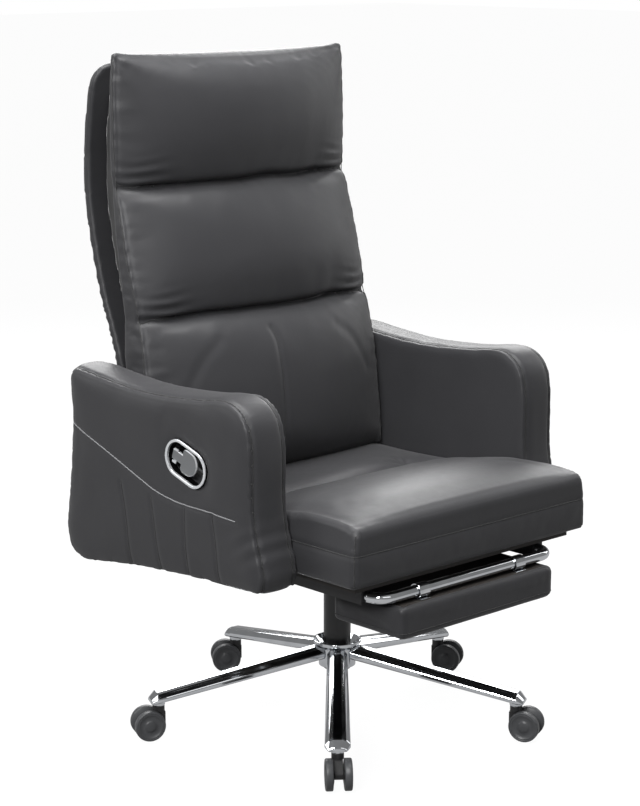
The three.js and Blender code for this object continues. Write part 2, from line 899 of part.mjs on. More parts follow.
// Recline handle, drawn flat with u along its length and v across it, x outwards
function onArm(geometry) {
  const upright = standUp(geometry).rotateX(handleTilt * degrees);
  return upright.translate(-armOuterX, handleY, handleHeight);
}

function racetrack(inset, depth, start) {
  const radius = handleWidth / 2 - inset;
  const reach = handleLength / 2 - handleWidth / 2;
  const shape = new THREE.Shape();
  shape.absarc(reach, 0, radius, -Math.PI / 2, Math.PI / 2, false);
  shape.absarc(-reach, 0, radius, Math.PI / 2, (3 * Math.PI) / 2, false);
  return prism(shape, depth, arcSteps).translate(0, 0, start);
}

const cupInset = bezelWidth - cupWall;
const paddleAxisDepth = paddleSink + paddleThickness / 2;

function handleBezel() {
  const flange = racetrack(0, bezelProud, -fit - bezelProud);
  const cup = racetrack(cupInset, cupDepth + fit + overrun / 2, -fit - overrun / 2);
  const room = racetrack(bezelWidth, cupDepth + bezelProud + overrun - cupWall, -bezelProud - overrun);
  const dish = cut(join(flange, cup), room);
  const lugs = [-1, 1].map((side) => handleLug(side));
  return onArm(join(dish, ...lugs));
}

function handleLug(side) {
  const inner = side * (tabWidth / 2 + fit);
  const outer = inner + side * lugThickness;
  const lug = box(
    paddleHingeU - lugLength / 2,
    paddleHingeU + lugLength / 2,
    Math.min(inner, outer),
    Math.max(inner, outer),
    paddleAxisDepth - lugLength / 2,
    cupDepth - cupWall / 2,
  );
  const radius = paddlePinRadius + fit;
  const bore = barAlongY(radius, -handleWidth, handleWidth, paddleHingeU, paddleAxisDepth, rodSides);
  return cut(lug, bore);
}

function reclineHandle() {
  const shape = new THREE.Shape();
  const halfTab = tabWidth / 2;
  const halfBody = bodyWidth / 2;
  shape.moveTo(tabEnd, -halfTab);
  shape.lineTo(tabEnd, halfTab);
  shape.lineTo(bodyBack, halfTab);
  shape.lineTo(bodyBack, halfBody - bodyCorner);
  shape.absarc(bodyBack - bodyCorner, halfBody - bodyCorner, bodyCorner, 0, Math.PI / 2, false);
  shape.lineTo(halfBody - bodyFront, halfBody);
  shape.absarc(halfBody - bodyFront, 0, halfBody, Math.PI / 2, (3 * Math.PI) / 2, false);
  shape.lineTo(bodyBack - bodyCorner, -halfBody);
  shape.absarc(bodyBack - bodyCorner, bodyCorner - halfBody, bodyCorner, -Math.PI / 2, 0, false);
  shape.lineTo(bodyBack, -halfTab);
  const paddle = prism(shape, paddleThickness, smallArcSteps).translate(0, 0, paddleSink);
  const pinHalf = halfTab + paddlePinReach;
  const pin = barAlongY(paddlePinRadius, -pinHalf, pinHalf, paddleHingeU, paddleAxisDepth, rodSides);
  return onArm(join(paddle, pin));
}

// Back
function backZ(share) {
  return backFoot + share * backHeight;
}

function backSeamY(share) {
  return backFootY + smooth(backLeanShares, share) * backLean;
}

function backRearY(share) {
  return backSeamY(share) + smooth(backEdgeShares, share) * backEdgeDepth;
}

function shellRearY(share) {
  return backFootY + shellFootDepth + smooth(shellRearShares, share) * shellSweep;
}

function shellFrontY(share) {
  return shellRearY(share) - shellThickness;
}

// Heights of the cushion's rows, closer together at the sewn channels.
function backRows() {
  const rows = [];
  for (let s = 0; s < channelShares.length - 1; s += 1) {
    const span = channelShares[s + 1] - channelShares[s];
    rows.push(...rowShares.map((share) => channelShares[s] + share * span));
  }
  return [...rows, 1];
}

// How full a puffed section is, from 0 in its channels to 1 between them.
function puffAt(share) {
  let s = 0;
  while (s < channelShares.length - 2 && share > channelShares[s + 1]) s += 1;
  const t = (share - channelShares[s]) / (channelShares[s + 1] - channelShares[s]);
  return Math.sqrt(Math.max(1 - (2 * t - 1) ** 2, 0));
}

const backAcrossShares = [-1, -0.94, -0.84, -0.7, -0.5, -0.25, 0, 0.25, 0.5, 0.7, 0.84, 0.94, 1];

function backRing(share) {
  const z = backZ(share);
  const puff = puffAt(share);
  const width = backFootWidth + (backHeadWidth - backFootWidth) * share;
  const half = width / 2 - backSideDraw * (1 - puff);
  const crown = smooth(backCrownShares, share) * backCrown + backPuff * puff;
  const front = backAcrossShares.map((s) => {
    const bulge = crown * (1 - Math.abs(s) ** backFlatness);
    return new THREE.Vector3(s * half, backSeamY(share) - bulge, z);
  });
  const rear = backRearY(share);
  return [
    ...front,
    new THREE.Vector3(half, rear - backCornerRoll, z),
    new THREE.Vector3(half - backCornerRoll, rear, z),
    new THREE.Vector3(backCornerRoll - half, rear, z),
    new THREE.Vector3(-half, rear - backCornerRoll, z),
  ];
}

function backCushion() {
  return loft(backRows().map(backRing));
}

// Core of foam and board between the cushion and the shell
function backCore() {
  const rows = backRows().slice(coreFootRow, -coreHeadRows);
  const half = coreWidth / 2;
  return loft(rows.map((share) => {
    const front = backRearY(share) + fit;
    const rear = shellFrontY(share) - fit;
    const z = backZ(share);
    return [
      new THREE.Vector3(-half, front, z),
      new THREE.Vector3(half, front, z),
      new THREE.Vector3(half, rear, z),
      new THREE.Vector3(-half, rear, z),
    ];
  }));
}

// Shell: a thin upholstered panel, padded a little more in the middle of its back
const shellAcrossShares = [-1, -0.9, -0.6, 0, 0.6, 0.9, 1];

function shellRing(share, cornerShare) {
  const z = backZ(share);
  const half = shellWidth / 2 - shellCorner * cornerShare;
  const front = shellFrontY(share);
  const rear = shellRearY(share);
  const fullness = 1 - cornerShare;
  const back = shellAcrossShares.map((s) => {
    const padding = shellPadding * fullness * (1 - s * s);
    return new THREE.Vector3(s * half, rear + padding - (Math.abs(s) === 1 ? shellEdgeRoll : 0), z);
  });
  return [new THREE.Vector3(half, front, z), new THREE.Vector3(-half, front, z), ...back];
}

function backShell() {
  const topShare = 1 - shellTopDrop / backHeight;
  const cornerFoot = topShare - shellCorner / backHeight;
  const rows = backRows().filter((share) => share < cornerFoot - shellTopDrop / backHeight);
  const rings = [-shellFootDrop / backHeight, ...rows].map((share) => shellRing(share, 0));
  for (let i = 0; i <= shellCornerSteps; i += 1) {
    const turn = ((i / shellCornerSteps) * Math.PI) / 2;
    const share = cornerFoot + ((topShare - cornerFoot) * Math.sin(turn));
    rings.push(shellRing(share, 1 - Math.cos(turn)));
  }
  return loft(rings);
}

// Recline hinge
const barInnerX = coreWidth / 2 + fit;
const barOuterX = barInnerX + hingeBarThickness;
const earInnerX = barOuterX + fit;
const earOuterX = earInnerX + hingeEarThickness;

function hingeBar(side) {
  const shape = new THREE.Shape();
  shape.absarc(pivotY, pivotHeight, hingeEyeRadius, Math.PI, 2 * Math.PI, false);
  hingeBarShares.forEach((row) => shape.lineTo(shellFrontY(row) - hingeBarMargin, backZ(row)));
  hingeBarShares.toReversed().forEach((row) => {
    shape.lineTo(backRearY(row) + hingeBarMargin, backZ(row));
  });
  const x0 = side > 0 ? barInnerX : -barOuterX;
  const plate = sidePlate(shape, x0, x0 + hingeBarThickness);
  return cut(plate, shaftBore(x0, x0 + hingeBarThickness));
}

function shaftBore(x0, x1) {
  return barAlongX(shaftRadius + fit, x0 - overrun, x1 + overrun, pivotY, pivotHeight, shaftSides);
}

function hingeBracket(side) {
  const shape = new THREE.Shape();
  shape.moveTo(pivotY - hingeEyeRadius, plateBottom);
  shape.lineTo(pivotY + hingeEyeRadius, plateBottom);
  shape.absarc(pivotY, pivotHeight, hingeEyeRadius, 0, Math.PI, false);
  const x0 = side > 0 ? earInnerX : -earOuterX;
  const ear = sidePlate(shape, x0, x0 + hingeEarThickness);
  const inner = earOuterX - hingeFlangeWidth;
  const flangeX = side > 0 ? [inner, earOuterX] : [-earOuterX, -inner];
  const flangeRear = pivotY + hingeEyeRadius;
  const flange = box(...flangeX, flangeRear - hingeFlangeLength, flangeRear, plateBottom, plateTop);
  return cut(join(ear, flange), shaftBore(x0, x0 + hingeEarThickness));
}

const strutPinY = pivotY + strutLeverRadius * Math.sin(strutLeverLag * degrees);
const strutPinZ = pivotHeight - strutLeverRadius * Math.cos(strutLeverLag * degrees);

function reclineShaft() {
  const end = earOuterX + shaftEnd;
  const half = strutLeverThickness / 2;
  const arm = box(-half, half, -strutLeverWidth / 2, strutLeverWidth / 2, -strutLeverRadius, 0);
  arm.rotateX(strutLeverLag * degrees).translate(strutX, pivotY, pivotHeight);
  return join(
    barAlongX(shaftRadius, -end, end, pivotY, pivotHeight, shaftSides),
    arm,
    barAlongX(strutLeverWidth / 2, strutX - half, strutX + half, strutPinY, strutPinZ, shaftSides),
    barAlongX(strutPinRadius, strutX - strutCheek, strutX + strutCheek, strutPinY, strutPinZ, pinSides),
  );
}

// Recline lock strut: barrel pinned to the mechanism, rod forked over the shaft's lever
function strutBarrel() {
  const front = strutFrontY + strutEarRadius;
  const pinEnds = [strutX - strutPinGrip, strutX + strutPinGrip];
  const tail = join(
    barAlongY(strutBarrelRadius, front, strutBarrelEnd, strutX, strutHeight, shaftSides),
    barAlongX(strutPinRadius, ...pinEnds, strutFrontY, strutHeight, pinSides),
    box(
      strutX - strutPinRadius,
      strutX + strutPinRadius,
      strutFrontY - strutPinRadius,
      front + fit,
      strutHeight - strutPinRadius,
      strutHeight + strutPinRadius,
    ),
  );
  const roomFront = strutFrontY + strutBoreFloor;
  const roomEnd = strutBarrelEnd + overrun;
  return cut(tail, barAlongY(strutRodRadius + fit, roomFront, roomEnd, strutX, strutHeight, pinSides));
}

function strutRod() {
  const outer = strutCheek;
  const inner = outer - forkTine;
  const front = strutPinY - forkLength;
  const rear = strutPinY + forkHeight / 2;
  const low = strutHeight - forkHeight / 2;
  const high = strutHeight + forkHeight / 2;
  const block = box(strutX - outer, strutX + outer, front, rear, low, high);
  const gap = box(
    strutX - inner,
    strutX + inner,
    front + forkBlock,
    rear + overrun,
    low - overrun,
    high + overrun,
  );
  const slack = strutPinRadius + forkSlotSlack;
  const slot = box(
    strutX - outer - overrun,
    strutX + outer + overrun,
    strutPinY - slack,
    strutPinY + slack,
    strutPinZ - strutPinRadius - forkSlotRise,
    strutPinZ + strutPinRadius + fit,
  );
  const rodFront = strutFrontY + strutRodTail;
  const rod = barAlongY(strutRodRadius, rodFront, front + forkBlock / 2, strutX, strutHeight, pinSides);
  return join(cut(block, gap, slot), rod);
}

// Footrest: a chrome U tube that slides in two guides under the seat board
function uFrame() {
  const half = railSpan / 2;
  const stations = [new THREE.Vector3(-half, railRear, barHeight)];
  [-1, 1].forEach((side) => {
    for (let i = 0; i <= railBendSteps; i += 1) {
      const turn = ((i / railBendSteps) * Math.PI) / 2;
      const t = side < 0 ? turn : Math.PI / 2 - turn;
      stations.push(new THREE.Vector3(
        side * (half - railBend + railBend * Math.cos(t)),
        barY + railBend - railBend * Math.sin(t),
        barHeight,
      ));
    }
  });
  stations.push(new THREE.Vector3(half, railRear, barHeight));
  return loft(stations.map((p, i) => tubeRing(stations, i)));
}

function tubeRing(stations, i) {
  const before = stations[Math.max(i - 1, 0)];
  const after = stations[Math.min(i + 1, stations.length - 1)];
  const into = new THREE.Vector3().subVectors(stations[i], before).normalize();
  const out = new THREE.Vector3().subVectors(after, stations[i]).normalize();
  const along = new THREE.Vector3().addVectors(into, out).normalize();
  const aside = new THREE.Vector3(along.y, -along.x, 0);
  const lengths = into.lengthSq() > 0 && out.lengthSq() > 0 ? into.dot(out) : 1;
  const mitre = 1 / Math.sqrt((1 + lengths) / 2);
  const ring = [];
  for (let k = 0; k < railSides; k += 1) {
    const a = ((2 * k + 1) / railSides) * Math.PI;
    const point = stations[i].clone();
    point.addScaledVector(aside, railRadius * mitre * Math.cos(a));
    point.z += railRadius * Math.sin(a);
    ring.push(point);
  }
  return ring;
}

function footGuide(side) {
  const x = (side * railSpan) / 2;
  const rear = guideFront + guideLength;
  const block = box(
    x - guideWidth / 2,
    x + guideWidth / 2,
    guideFront,
    rear,
    barHeight - railRadius - guideLip,
    plateTop,
  );
  const bore = barAlongY(railRadius + fit, guideFront - overrun, rear + overrun, x, barHeight, boreSides);
  const slot = box(
    x - guideSlot / 2,
    x + guideSlot / 2,
    guideFront - overrun,
    rear + overrun,
    barHeight - railRadius - guideLip - overrun,
    barHeight,
  );
  return cut(block, bore, slot);
}

const footBoardTop = footPadTop - clipPlate + fit;
const footBoardBottom = footBoardTop - footBoardThickness;

function footBoard() {
  const half = footPadWidth / 2 - footPadRim - fit;
  const front = footPadFront + footPadRim + fit;
  const rear = footPadFront + footPadLength - footPadRim - fit;
  return box(-half, half, front, rear, footBoardBottom, footBoardTop);
}

// Section of the footrest pad along its length, with rounded corners.
function footPadOutline() {
  const shape = new THREE.Shape();
  const r = footPadRoll;
  const front = footPadFront;
  const rear = footPadFront + footPadLength;
  shape.absarc(front + r, footPadTop - r, r, Math.PI / 2, Math.PI, false);
  shape.absarc(front + r, footPadBottom + r, r, Math.PI, (3 * Math.PI) / 2, false);
  shape.absarc(rear - r, footPadBottom + r, r, (3 * Math.PI) / 2, 2 * Math.PI, false);
  shape.absarc(rear - r, footPadTop - r, r, 0, Math.PI / 2, false);
  return shape.extractPoints(padArcSteps).shape;
}

const footAcrossShares = [-1, -0.985, -0.94, -0.8, -0.5, 0, 0.5, 0.8, 0.94, 0.985, 1];

function footPad() {
  const outline = footPadOutline();
  const middleY = footPadFront + footPadLength / 2;
  const rings = footAcrossShares.map((s) => {
    const inset = footPadRoll * (1 - Math.sqrt(1 - Math.abs(s) ** footPadEndFlatness));
    return offsetOutline(outline, -Math.min(inset, footPadRoll / 2)).map((p) => {
      const fromMiddle = (2 * (p.x - middleY)) / footPadLength;
      const low = p.y < (footPadBottom + footPadTop) / 2 ? 1 : 0;
      const crown = low * footPadCrown * (1 - s * s) * Math.max(1 - fromMiddle ** 2, 0);
      return new THREE.Vector3((s * footPadWidth) / 2, p.x, p.y - crown);
    });
  });
  const half = footPadWidth / 2 - footPadRim;
  const front = footPadFront + footPadRim;
  const rear = footPadFront + footPadLength - footPadRim;
  const pocket = box(-half, half, front, rear, footBoardBottom - fit, footPadTop + overrun);
  return cut(loft(rings), pocket);
}

function footClip(side) {
  const x0 = side * clipX - clipWidth / 2;
  const x1 = x0 + clipWidth;
  const outer = railRadius + clipFit + clipWall;
  const plateFoot = footBoardTop + fit;
  const ring = barAlongX(outer, x0, x1, barY, barHeight);
  const plate = box(x0, x1, barY - outer, barY + clipPlateRear, plateFoot, plateFoot + clipPlate);
  const bore = barAlongX(railRadius + clipFit, x0 - overrun, x1 + overrun, barY, barHeight, boreSides);
  return cut(join(ring, plate), bore);
}

// Assembly
function armAssembly() {
  const room = onArm(racetrack(cupInset - fit, cupDepth + fit + overrun, -overrun));
  return group(
    named("arm_pad_right", cut(armPad(-1), room), "leather"),
    named("arm_pad_left", armPad(1), "leather"),
    named("arm_bracket_right", armBracket(-1), "blackSteel"),
    named("arm_bracket_left", armBracket(1), "blackSteel"),
    named("handle_bezel", handleBezel(), "chrome"),
    named("recline_handle", reclineHandle(), "greyPlastic"),
  );
}

function seatAssembly() {
  return group(
    named("mechanism_plate", mechanism(), "blackSteel"),
    named("height_lever", heightLever(), "blackPlastic"),
    named("seat_board", seatBoard(), "plywood"),
    named("seat_cushion", seatCushion(), "leather"),
    named("hinge_bracket_right", hingeBracket(-1), "blackSteel"),
    named("hinge_bracket_left", hingeBracket(1), "blackSteel"),
    named("strut_barrel", strutBarrel(), "blackSteel"),
    named("strut_rod", strutRod(), "chrome"),
    named("footrest_guide_right", footGuide(-1), "blackPlastic"),
    named("footrest_guide_left", footGuide(1), "blackPlastic"),
  );
}

function backAssembly() {
  return group(
    named("back_cushion", backCushion(), "leather"),
    named("back_core", backCore(), "foam"),
    named("back_shell", backShell(), "blackLeather"),
    named("hinge_bar_right", hingeBar(-1), "blackSteel"),
    named("hinge_bar_left", hingeBar(1), "blackSteel"),
    named("recline_shaft", reclineShaft(), "blackSteel"),
  );
}

function footrestAssembly() {
  return group(
    named("footrest_frame", uFrame(), "chrome"),
    named("footrest_pad", footPad(), "leather"),
    named("footrest_board", footBoard(), "plywood"),
    named("footrest_clip_right", footClip(-1), "chrome"),
    named("footrest_clip_left", footClip(1), "chrome"),
  );
}

// The origin goes to the middle of the footprint on the floor.
function centred(model) {
  const bounds = new THREE.Box3().setFromObject(model, true);
  const middle = bounds.getCenter(new THREE.Vector3());
  model.position.set(-middle.x, -middle.y, -bounds.min.z);
  return model;
}

export default centred(group(
  base(),
  named("gas_column", column(), "columnPaint"),
  named("gas_piston", turned(pistonProfile(0), boreSides), "chrome"),
  armAssembly(),
  seatAssembly(),
  backAssembly(),
  footrestAssembly(),
));
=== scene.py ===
"""Looks for a reclining office chair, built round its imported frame.

Lengths are in metres in the frame's own axes: +Z is up, the sitter faces -Y and +X is on the sitter's left.
The covers start from the frame's cushions. A cloth simulation swells them, and then their creases, seams and
wrinkles are pressed in.
"""

import json
import math

import bpy
import numpy as np
from mathutils import Matrix, Vector, noise
from mathutils.bvhtree import BVHTree
from mathutils.kdtree import KDTree


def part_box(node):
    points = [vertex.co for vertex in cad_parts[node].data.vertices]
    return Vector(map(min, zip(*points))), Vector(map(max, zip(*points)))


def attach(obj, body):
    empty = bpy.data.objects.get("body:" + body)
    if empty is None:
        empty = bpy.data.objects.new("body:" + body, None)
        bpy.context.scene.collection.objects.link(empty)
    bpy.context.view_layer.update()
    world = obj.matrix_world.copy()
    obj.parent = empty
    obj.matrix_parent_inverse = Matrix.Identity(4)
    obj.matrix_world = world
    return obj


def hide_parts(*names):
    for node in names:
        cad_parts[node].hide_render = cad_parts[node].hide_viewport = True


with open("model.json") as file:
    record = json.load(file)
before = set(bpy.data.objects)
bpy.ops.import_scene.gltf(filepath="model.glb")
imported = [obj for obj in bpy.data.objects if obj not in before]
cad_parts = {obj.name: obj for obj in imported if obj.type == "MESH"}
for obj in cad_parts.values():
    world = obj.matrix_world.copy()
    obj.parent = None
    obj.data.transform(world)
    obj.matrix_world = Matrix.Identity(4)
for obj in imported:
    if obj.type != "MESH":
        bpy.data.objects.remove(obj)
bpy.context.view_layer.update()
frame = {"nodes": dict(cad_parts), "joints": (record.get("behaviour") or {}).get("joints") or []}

MM = 0.001
UP = Vector((0, 0, 1))

# Covers: the length of their faces
BACK_CELL = 7 * MM
SEAT_CELL = 7.5 * MM
ARM_CELL = 7.5 * MM
FOOTREST_CELL = 6 * MM
SHELL_CELL = 8.5 * MM
CORE_CELL = 10 * MM

# Covers: how the cloth swells. No point moves further than the cap, and growth is a share of its length
SWELL_FRAMES = 20
CLOTH_QUALITY = 3
CLOTH_MASS = 0.3
CLOTH_STIFFNESS = 14
CLOTH_BENDING = 1.5
SEWN_LEVELS = 10
SEWN_FREE_SHARE = 0.5
BACK_SWELL = {"pressure": 5.0, "cap": 10 * MM, "growth": 0.008}
SEAT_SWELL = {"pressure": 5.0, "cap": 6 * MM, "growth": 0.002}
ARM_SWELL = {"pressure": 3.0, "cap": 2.5 * MM, "growth": 0.001}
FOOTREST_SWELL = {"pressure": 4.0, "cap": 3 * MM, "growth": 0.004}
SHELL_SWELL = {"pressure": 1.0, "cap": 2 * MM, "growth": 0.004}
CORE_SWELL = {"pressure": 2.0, "cap": 3 * MM, "growth": 0.004}

# Covers: the radius of the edges that they lie over, and how often their heights are evened
SEAT_EDGE = 9 * MM
ARM_EDGE = 8 * MM
POCKET_EDGE = 0.8 * MM
FOOTREST_EDGE = 5 * MM
SHELL_EDGE = 6 * MM
CORE_EDGE = 4 * MM
EDGE_TRIES = 4
EDGE_CLOSE = 0.01 * MM
EDGE_TINY = 0.1 * MM
HEIGHT_ROUNDS = 8

# Covers: which faces a hold or a press acts on. It begins at the first share of the direction named, and is
# full at the second
BACK_REAR = (0.3, 0.7)
BACK_FRONT = (-0.35, 0.25)
BACK_FLAT_FRONT = (0.6, 0.85)
BACK_STILL_REAR = (0.2, 0.8)
SEAT_UNDER = (0.3, 0.8)
SEAT_TOP = (0.35, 0.75)
SEAT_HELD_TOP = (0.5, 0.8)
SEAT_FLAT_TOP = (0.75, 0.92)
SHELL_FRONT = (0.1, 0.6)
CORE_FLAT = (0.3, 0.7)

# Covers: where each kind of wrinkle is read in the noise
CREASE_SEED = 11.0
PUCKER_SEED = 3
GATHER_SEED = 5.0
BACK_SOFT_SEED = 9.0
SEAT_CREASE_SEED = 21.0
SEAT_GATHER_SEED = 25.0
SEAT_SOFT_SEED = 29.0
ARM_SOFT_SEED = 31.0
SMALL_COVER_SEED = 41.0

# Seams: each press is the width and depth of leather drawn in, and each cord is a radius
SEAM_STEP = 3 * MM
CURVE_PARTS = 16
BACK_SEAM_PRESS = (7 * MM, 3.2 * MM)
BACK_FOLD_PRESS = (11 * MM, 1.6 * MM)
CHANNEL_END_PRESS = (5 * MM, 2.4 * MM)
SEAT_SEAM_PRESS = (4 * MM, 1.6 * MM)
ARM_EDGE_PRESS = (4 * MM, 2.2 * MM)
ARM_PATTERN_PRESS = (4.5 * MM, 1.6 * MM)
EDGE_CORD = 0.9 * MM
FOOTREST_CORD = 0.8 * MM
SHELL_CORD = 0.8 * MM
ARM_PATTERN_CORD = 1.2 * MM
ARM_PANEL_CORD = 0.7 * MM
CORD_SIDES = 8
THREAD_RADIUS = 0.45 * MM
THREAD_SIDES = 5
THREAD_LIFT_SHARE = 0.4
STITCH_LENGTH = 4 * MM
STITCH_GAP = 1.6 * MM
STITCH_PARTS = 3

# Back cushion: where it is held while it swells, and how often it is evened
CHANNEL_SHARES = (0.39, 0.693)
CHANNEL_HOLD_SHARE = 0.012
BACK_EDGE_HOLD = 7 * MM
BACK_EDGE_BAND = (16 * MM, 8 * MM)
BACK_EDGE_LEVELS = 40
BACK_EDGE_REACH = 16 * MM
BACK_FILL_ROUNDS = (14, 3)
BACK_EASE_ROUNDS = 30

# Back cushion: its creases. Shares across it run from 0 in the middle to 1 at a side
CREASE_DEPTH = 15 * MM
CREASE_ABOVE = 6 * MM
CREASE_BELOW = 12 * MM
CREASE_WANDER = 4 * MM
CREASE_WANDER_SIZE = 90 * MM
CREASE_FADE_SHARES = (0.55, 0.92)
CREASE_END_DEPTH_SHARE = 0.25
BELLY_DEPTH = 17 * MM
BELLY_ABOVE = 48 * MM
BELLY_BELOW = 18 * MM
OVERHANG = 13 * MM
OVERHANG_REACH = 26 * MM
PUCKER_DEPTH = 0.9 * MM
PUCKER_REACH = 42 * MM
PUCKER_SIZES = (34 * MM, 60 * MM, 120 * MM)
PUCKER_FADE_SHARES = (0.85, 1)
PLEAT_DEPTH = 2.4 * MM
PLEAT_SPACING = 19 * MM
PLEAT_RISE = 16 * MM
PLEAT_REACH = 24 * MM
PLEAT_PLACE_SHARE = 0.8
PLEAT_WIDTH_SHARE = 0.13
CHANNEL_END_SHARES = (0.7, 0.8, 0.9, 0.985)

# Back cushion: its top corners, its gathered sides and the lines of its lower section
EAR_HEIGHT = 4 * MM
EAR_FALL = 90 * MM
EAR_SHARES = (0.78, 1)
TOP_DIP = 3 * MM
CORNER_PLEAT = 1.4 * MM
CORNER_PLEAT_TURNS = 9
CORNER_PLEAT_START = 30 * MM
CORNER_PLEAT_REACH = 70 * MM
GATHER_DEPTH = 1.1 * MM
GATHER_SIZES = (60 * MM, 45 * MM, 15 * MM)
GATHER_SHARES = (0.82, 0.97)
BACK_SOFT_DEPTH = 1.0 * MM
BACK_SOFT_SIZES = (150 * MM, 150 * MM, 110 * MM)
BACK_SEAM_X = -18 * MM
BACK_SEAM_HOOK = 6 * MM
BACK_SEAM_TOP = 14 * MM
BACK_SEAM_FOOT = 40 * MM
BACK_SEAM_KNOTS = 9
BACK_FOLD_START = 150 * MM
BACK_FOLD_SPREAD = 95 * MM
BACK_FOLD_TOP = 30 * MM
BACK_FOLD_DROP = 105 * MM
BACK_FOLD_BEND = 0.8
BACK_FOLD_SHARES = (0, 0.25, 0.5, 0.75, 1)
BACK_CORD_KNOTS = 30
BACK_CORD_FOOT = 12 * MM
BACK_CORD_TOP = 6 * MM
BACK_CORD_BACK = 3 * MM

# Seat cushion: where it is held and evened, its crease, its pulled-down point and its seams
FRONT_SEAM_SHARE = 0.465
SEAT_CREASE_HOLD = 9 * MM
SEAT_SEAM_HOLD = 5 * MM
SEAT_SEAM_HOLD_SHARE = 0.9
SEAT_EASE_ROUNDS = 40
SEAT_EASE_BAND = (12 * MM, 30 * MM)
SEAT_CREASE_DEPTH = 6 * MM
SEAT_CREASE_WIDTH = 15 * MM
SEAT_CREASE_BACK = 323 * MM
SEAT_CREASE_WANDER = 10 * MM
SEAT_CREASE_WANDER_SIZE = 160 * MM
SEAT_CREASE_FADE_SHARES = (0.55, 0.95)
SEAT_GATHER_DEPTH = 1.2 * MM
SEAT_GATHER_REACH = 34 * MM
SEAT_GATHER_SIZES = (40 * MM, 90 * MM, 1)
SEAT_CORNER_EAR = 5 * MM
SEAT_EAR_REACH = 22 * MM
SEAT_SOFT_DEPTH = 0.8 * MM
SEAT_SOFT_SIZES = (170 * MM, 170 * MM, 90 * MM)
TUFT_PLACE = (180 * MM, 22 * MM)
TUFT_DEPTH = 7 * MM
TUFT_WIDTH = 20 * MM
TUFT_FOLD_DEPTH = 2.2 * MM
TUFT_FOLD_TURNS = 7
TUFT_FOLD_START = 14 * MM
TUFT_FOLD_REACH = 34 * MM
SEAT_SEAM_INSET = 4 * MM
SEAT_SEAM_CORNER = 8 * MM
SEAT_SEAM_REAR = 60 * MM
SEAT_CORNER_SEAM_FOOT = 6 * MM
SEAT_CORNER_SEAM_SHARE = 0.8
SEAT_CORNER_SEAM_KNOTS = 6

# Arms: the outline is read off the frame's arm, and the side's seams are shares of its box
ARM_INNER_HOLD = 4 * MM
POCKET_HOLD = (58 * MM, 80 * MM)
POCKET_STILL = (50 * MM, 70 * MM)
POCKET_CLEAR = 75 * MM
ARM_EASE_ROUNDS = 24
ARM_EASE_TILT = (0.65, 0.3)
ARM_REAR_ROUND = 24 * MM
ARM_SOFT_DEPTH = 0.5 * MM
ARM_SOFT_SIZE = 90 * MM
ARM_FOLD_DEPTH = 1.0 * MM
ARM_FOLD_PLACE = (25 * MM, 120 * MM)
ARM_FOLD_SPACING = 34 * MM
ARM_FOLD_REACH = 34 * MM
ARM_FOLD_STRETCH = 1.2
ARM_FOLD_LEAN = 0.6
ARM_SEAM_OUT = 8 * MM
ARM_SEAM_IN = 10 * MM
ARM_RIM_CLOSE = 0.3 * MM
ARM_PIPING_SHARES = (
    (0.946, 0.705), (0.826, 0.646), (0.695, 0.577), (0.587, 0.519), (0.499, 0.476),
    (0.38, 0.45), (0.255, 0.448), (0.118, 0.439),
)
ARM_VERTICAL_SHARES = (
    ((0.684, 0.47), (0.66, 0.3), (0.643, 0.067)),
    ((0.531, 0.44), (0.51, 0.26), (0.491, 0.09)),
    ((0.365, 0.44), (0.362, 0.27), (0.355, 0.11)),
    ((0.231, 0.44), (0.213, 0.28), (0.205, 0.12)),
)

# Footrest pad, back shell and core: their creases, their seams and where they are held
SMALL_COVER_SIZES = (70 * MM, 70 * MM, 50 * MM)
FOOTREST_WRINKLE = 0.4 * MM
FOOTREST_HOLD = (16 * MM, 4 * MM)
FOOTREST_SEAM_SHARE = 0.22
FOOTREST_SEAM_INSET = 2 * MM
FOOTREST_SEAM_CORNER = 10 * MM
SHELL_WRINKLE = 0.3 * MM
SHELL_RIM_CLOSE = 1.0 * MM
CORE_WRINKLE = 1.5 * MM

# Footrest tube: the radius of its bends, and how finely it is drawn
TUBE_BEND = 30 * MM
TUBE_BEND_KNOTS = 13
TUBE_SIDE_KNOTS = 6
TUBE_SIDES = 32

# Caster wheels: how finely they are turned, and the share of their radius under the hub cap
WHEEL_STEPS = 64
HUB_CAP_SHARE = 0.36
TREAD_DEPTH = 4.7 * MM
WHEEL_WELD = 0.01 * MM

# Edge radii of metal and moulded parts, and how deep the plated rim of the bezel is
EDGE_WELD = 0.001 * MM
EDGE_SEGMENTS = 2
EDGE_ANGLE = 30
LEG_EDGE_ANGLE = 24
LEG_RADIUS = 1.4 * MM
HANDLE_RADIUS = 1.2 * MM
HOUSING_RADIUS = 0.9 * MM
HUB_RADIUS = 0.8 * MM
BRACKET_RADIUS = 0.5 * MM
BEZEL_RIM_DEPTH = 4.2 * MM

# Studio: the floor, the dome, and each lamp's place, aim, width and height, and power
FLOOR_REACH = 30
CHAIR_MIDDLE = (0, 0, 0.6)
LAMPS = {
    "top": ((-0.2, -0.1, 3.1), CHAIR_MIDDLE, (2.4, 1.1), 140),
    "behind": ((2.2, 2.4, 2.5), CHAIR_MIDDLE, (3.6, 1.8), 150),
    "left side": ((-2.3, -1.2, 2.1), (0, 0, 0.9), (1.1, 1.1), 96),
    "left rear": ((-2.2, 1.5, 1.7), (-0.3, 0, 0.6), (1.2, 1.2), 24),
    "right side": ((3.0, -0.6, 1.9), CHAIR_MIDDLE, (1.2, 2.0), 20),
    "front": ((-1.0, -3.4, 2.6), (0, 0, 1.2), (2.4, 1.2), 10),
}

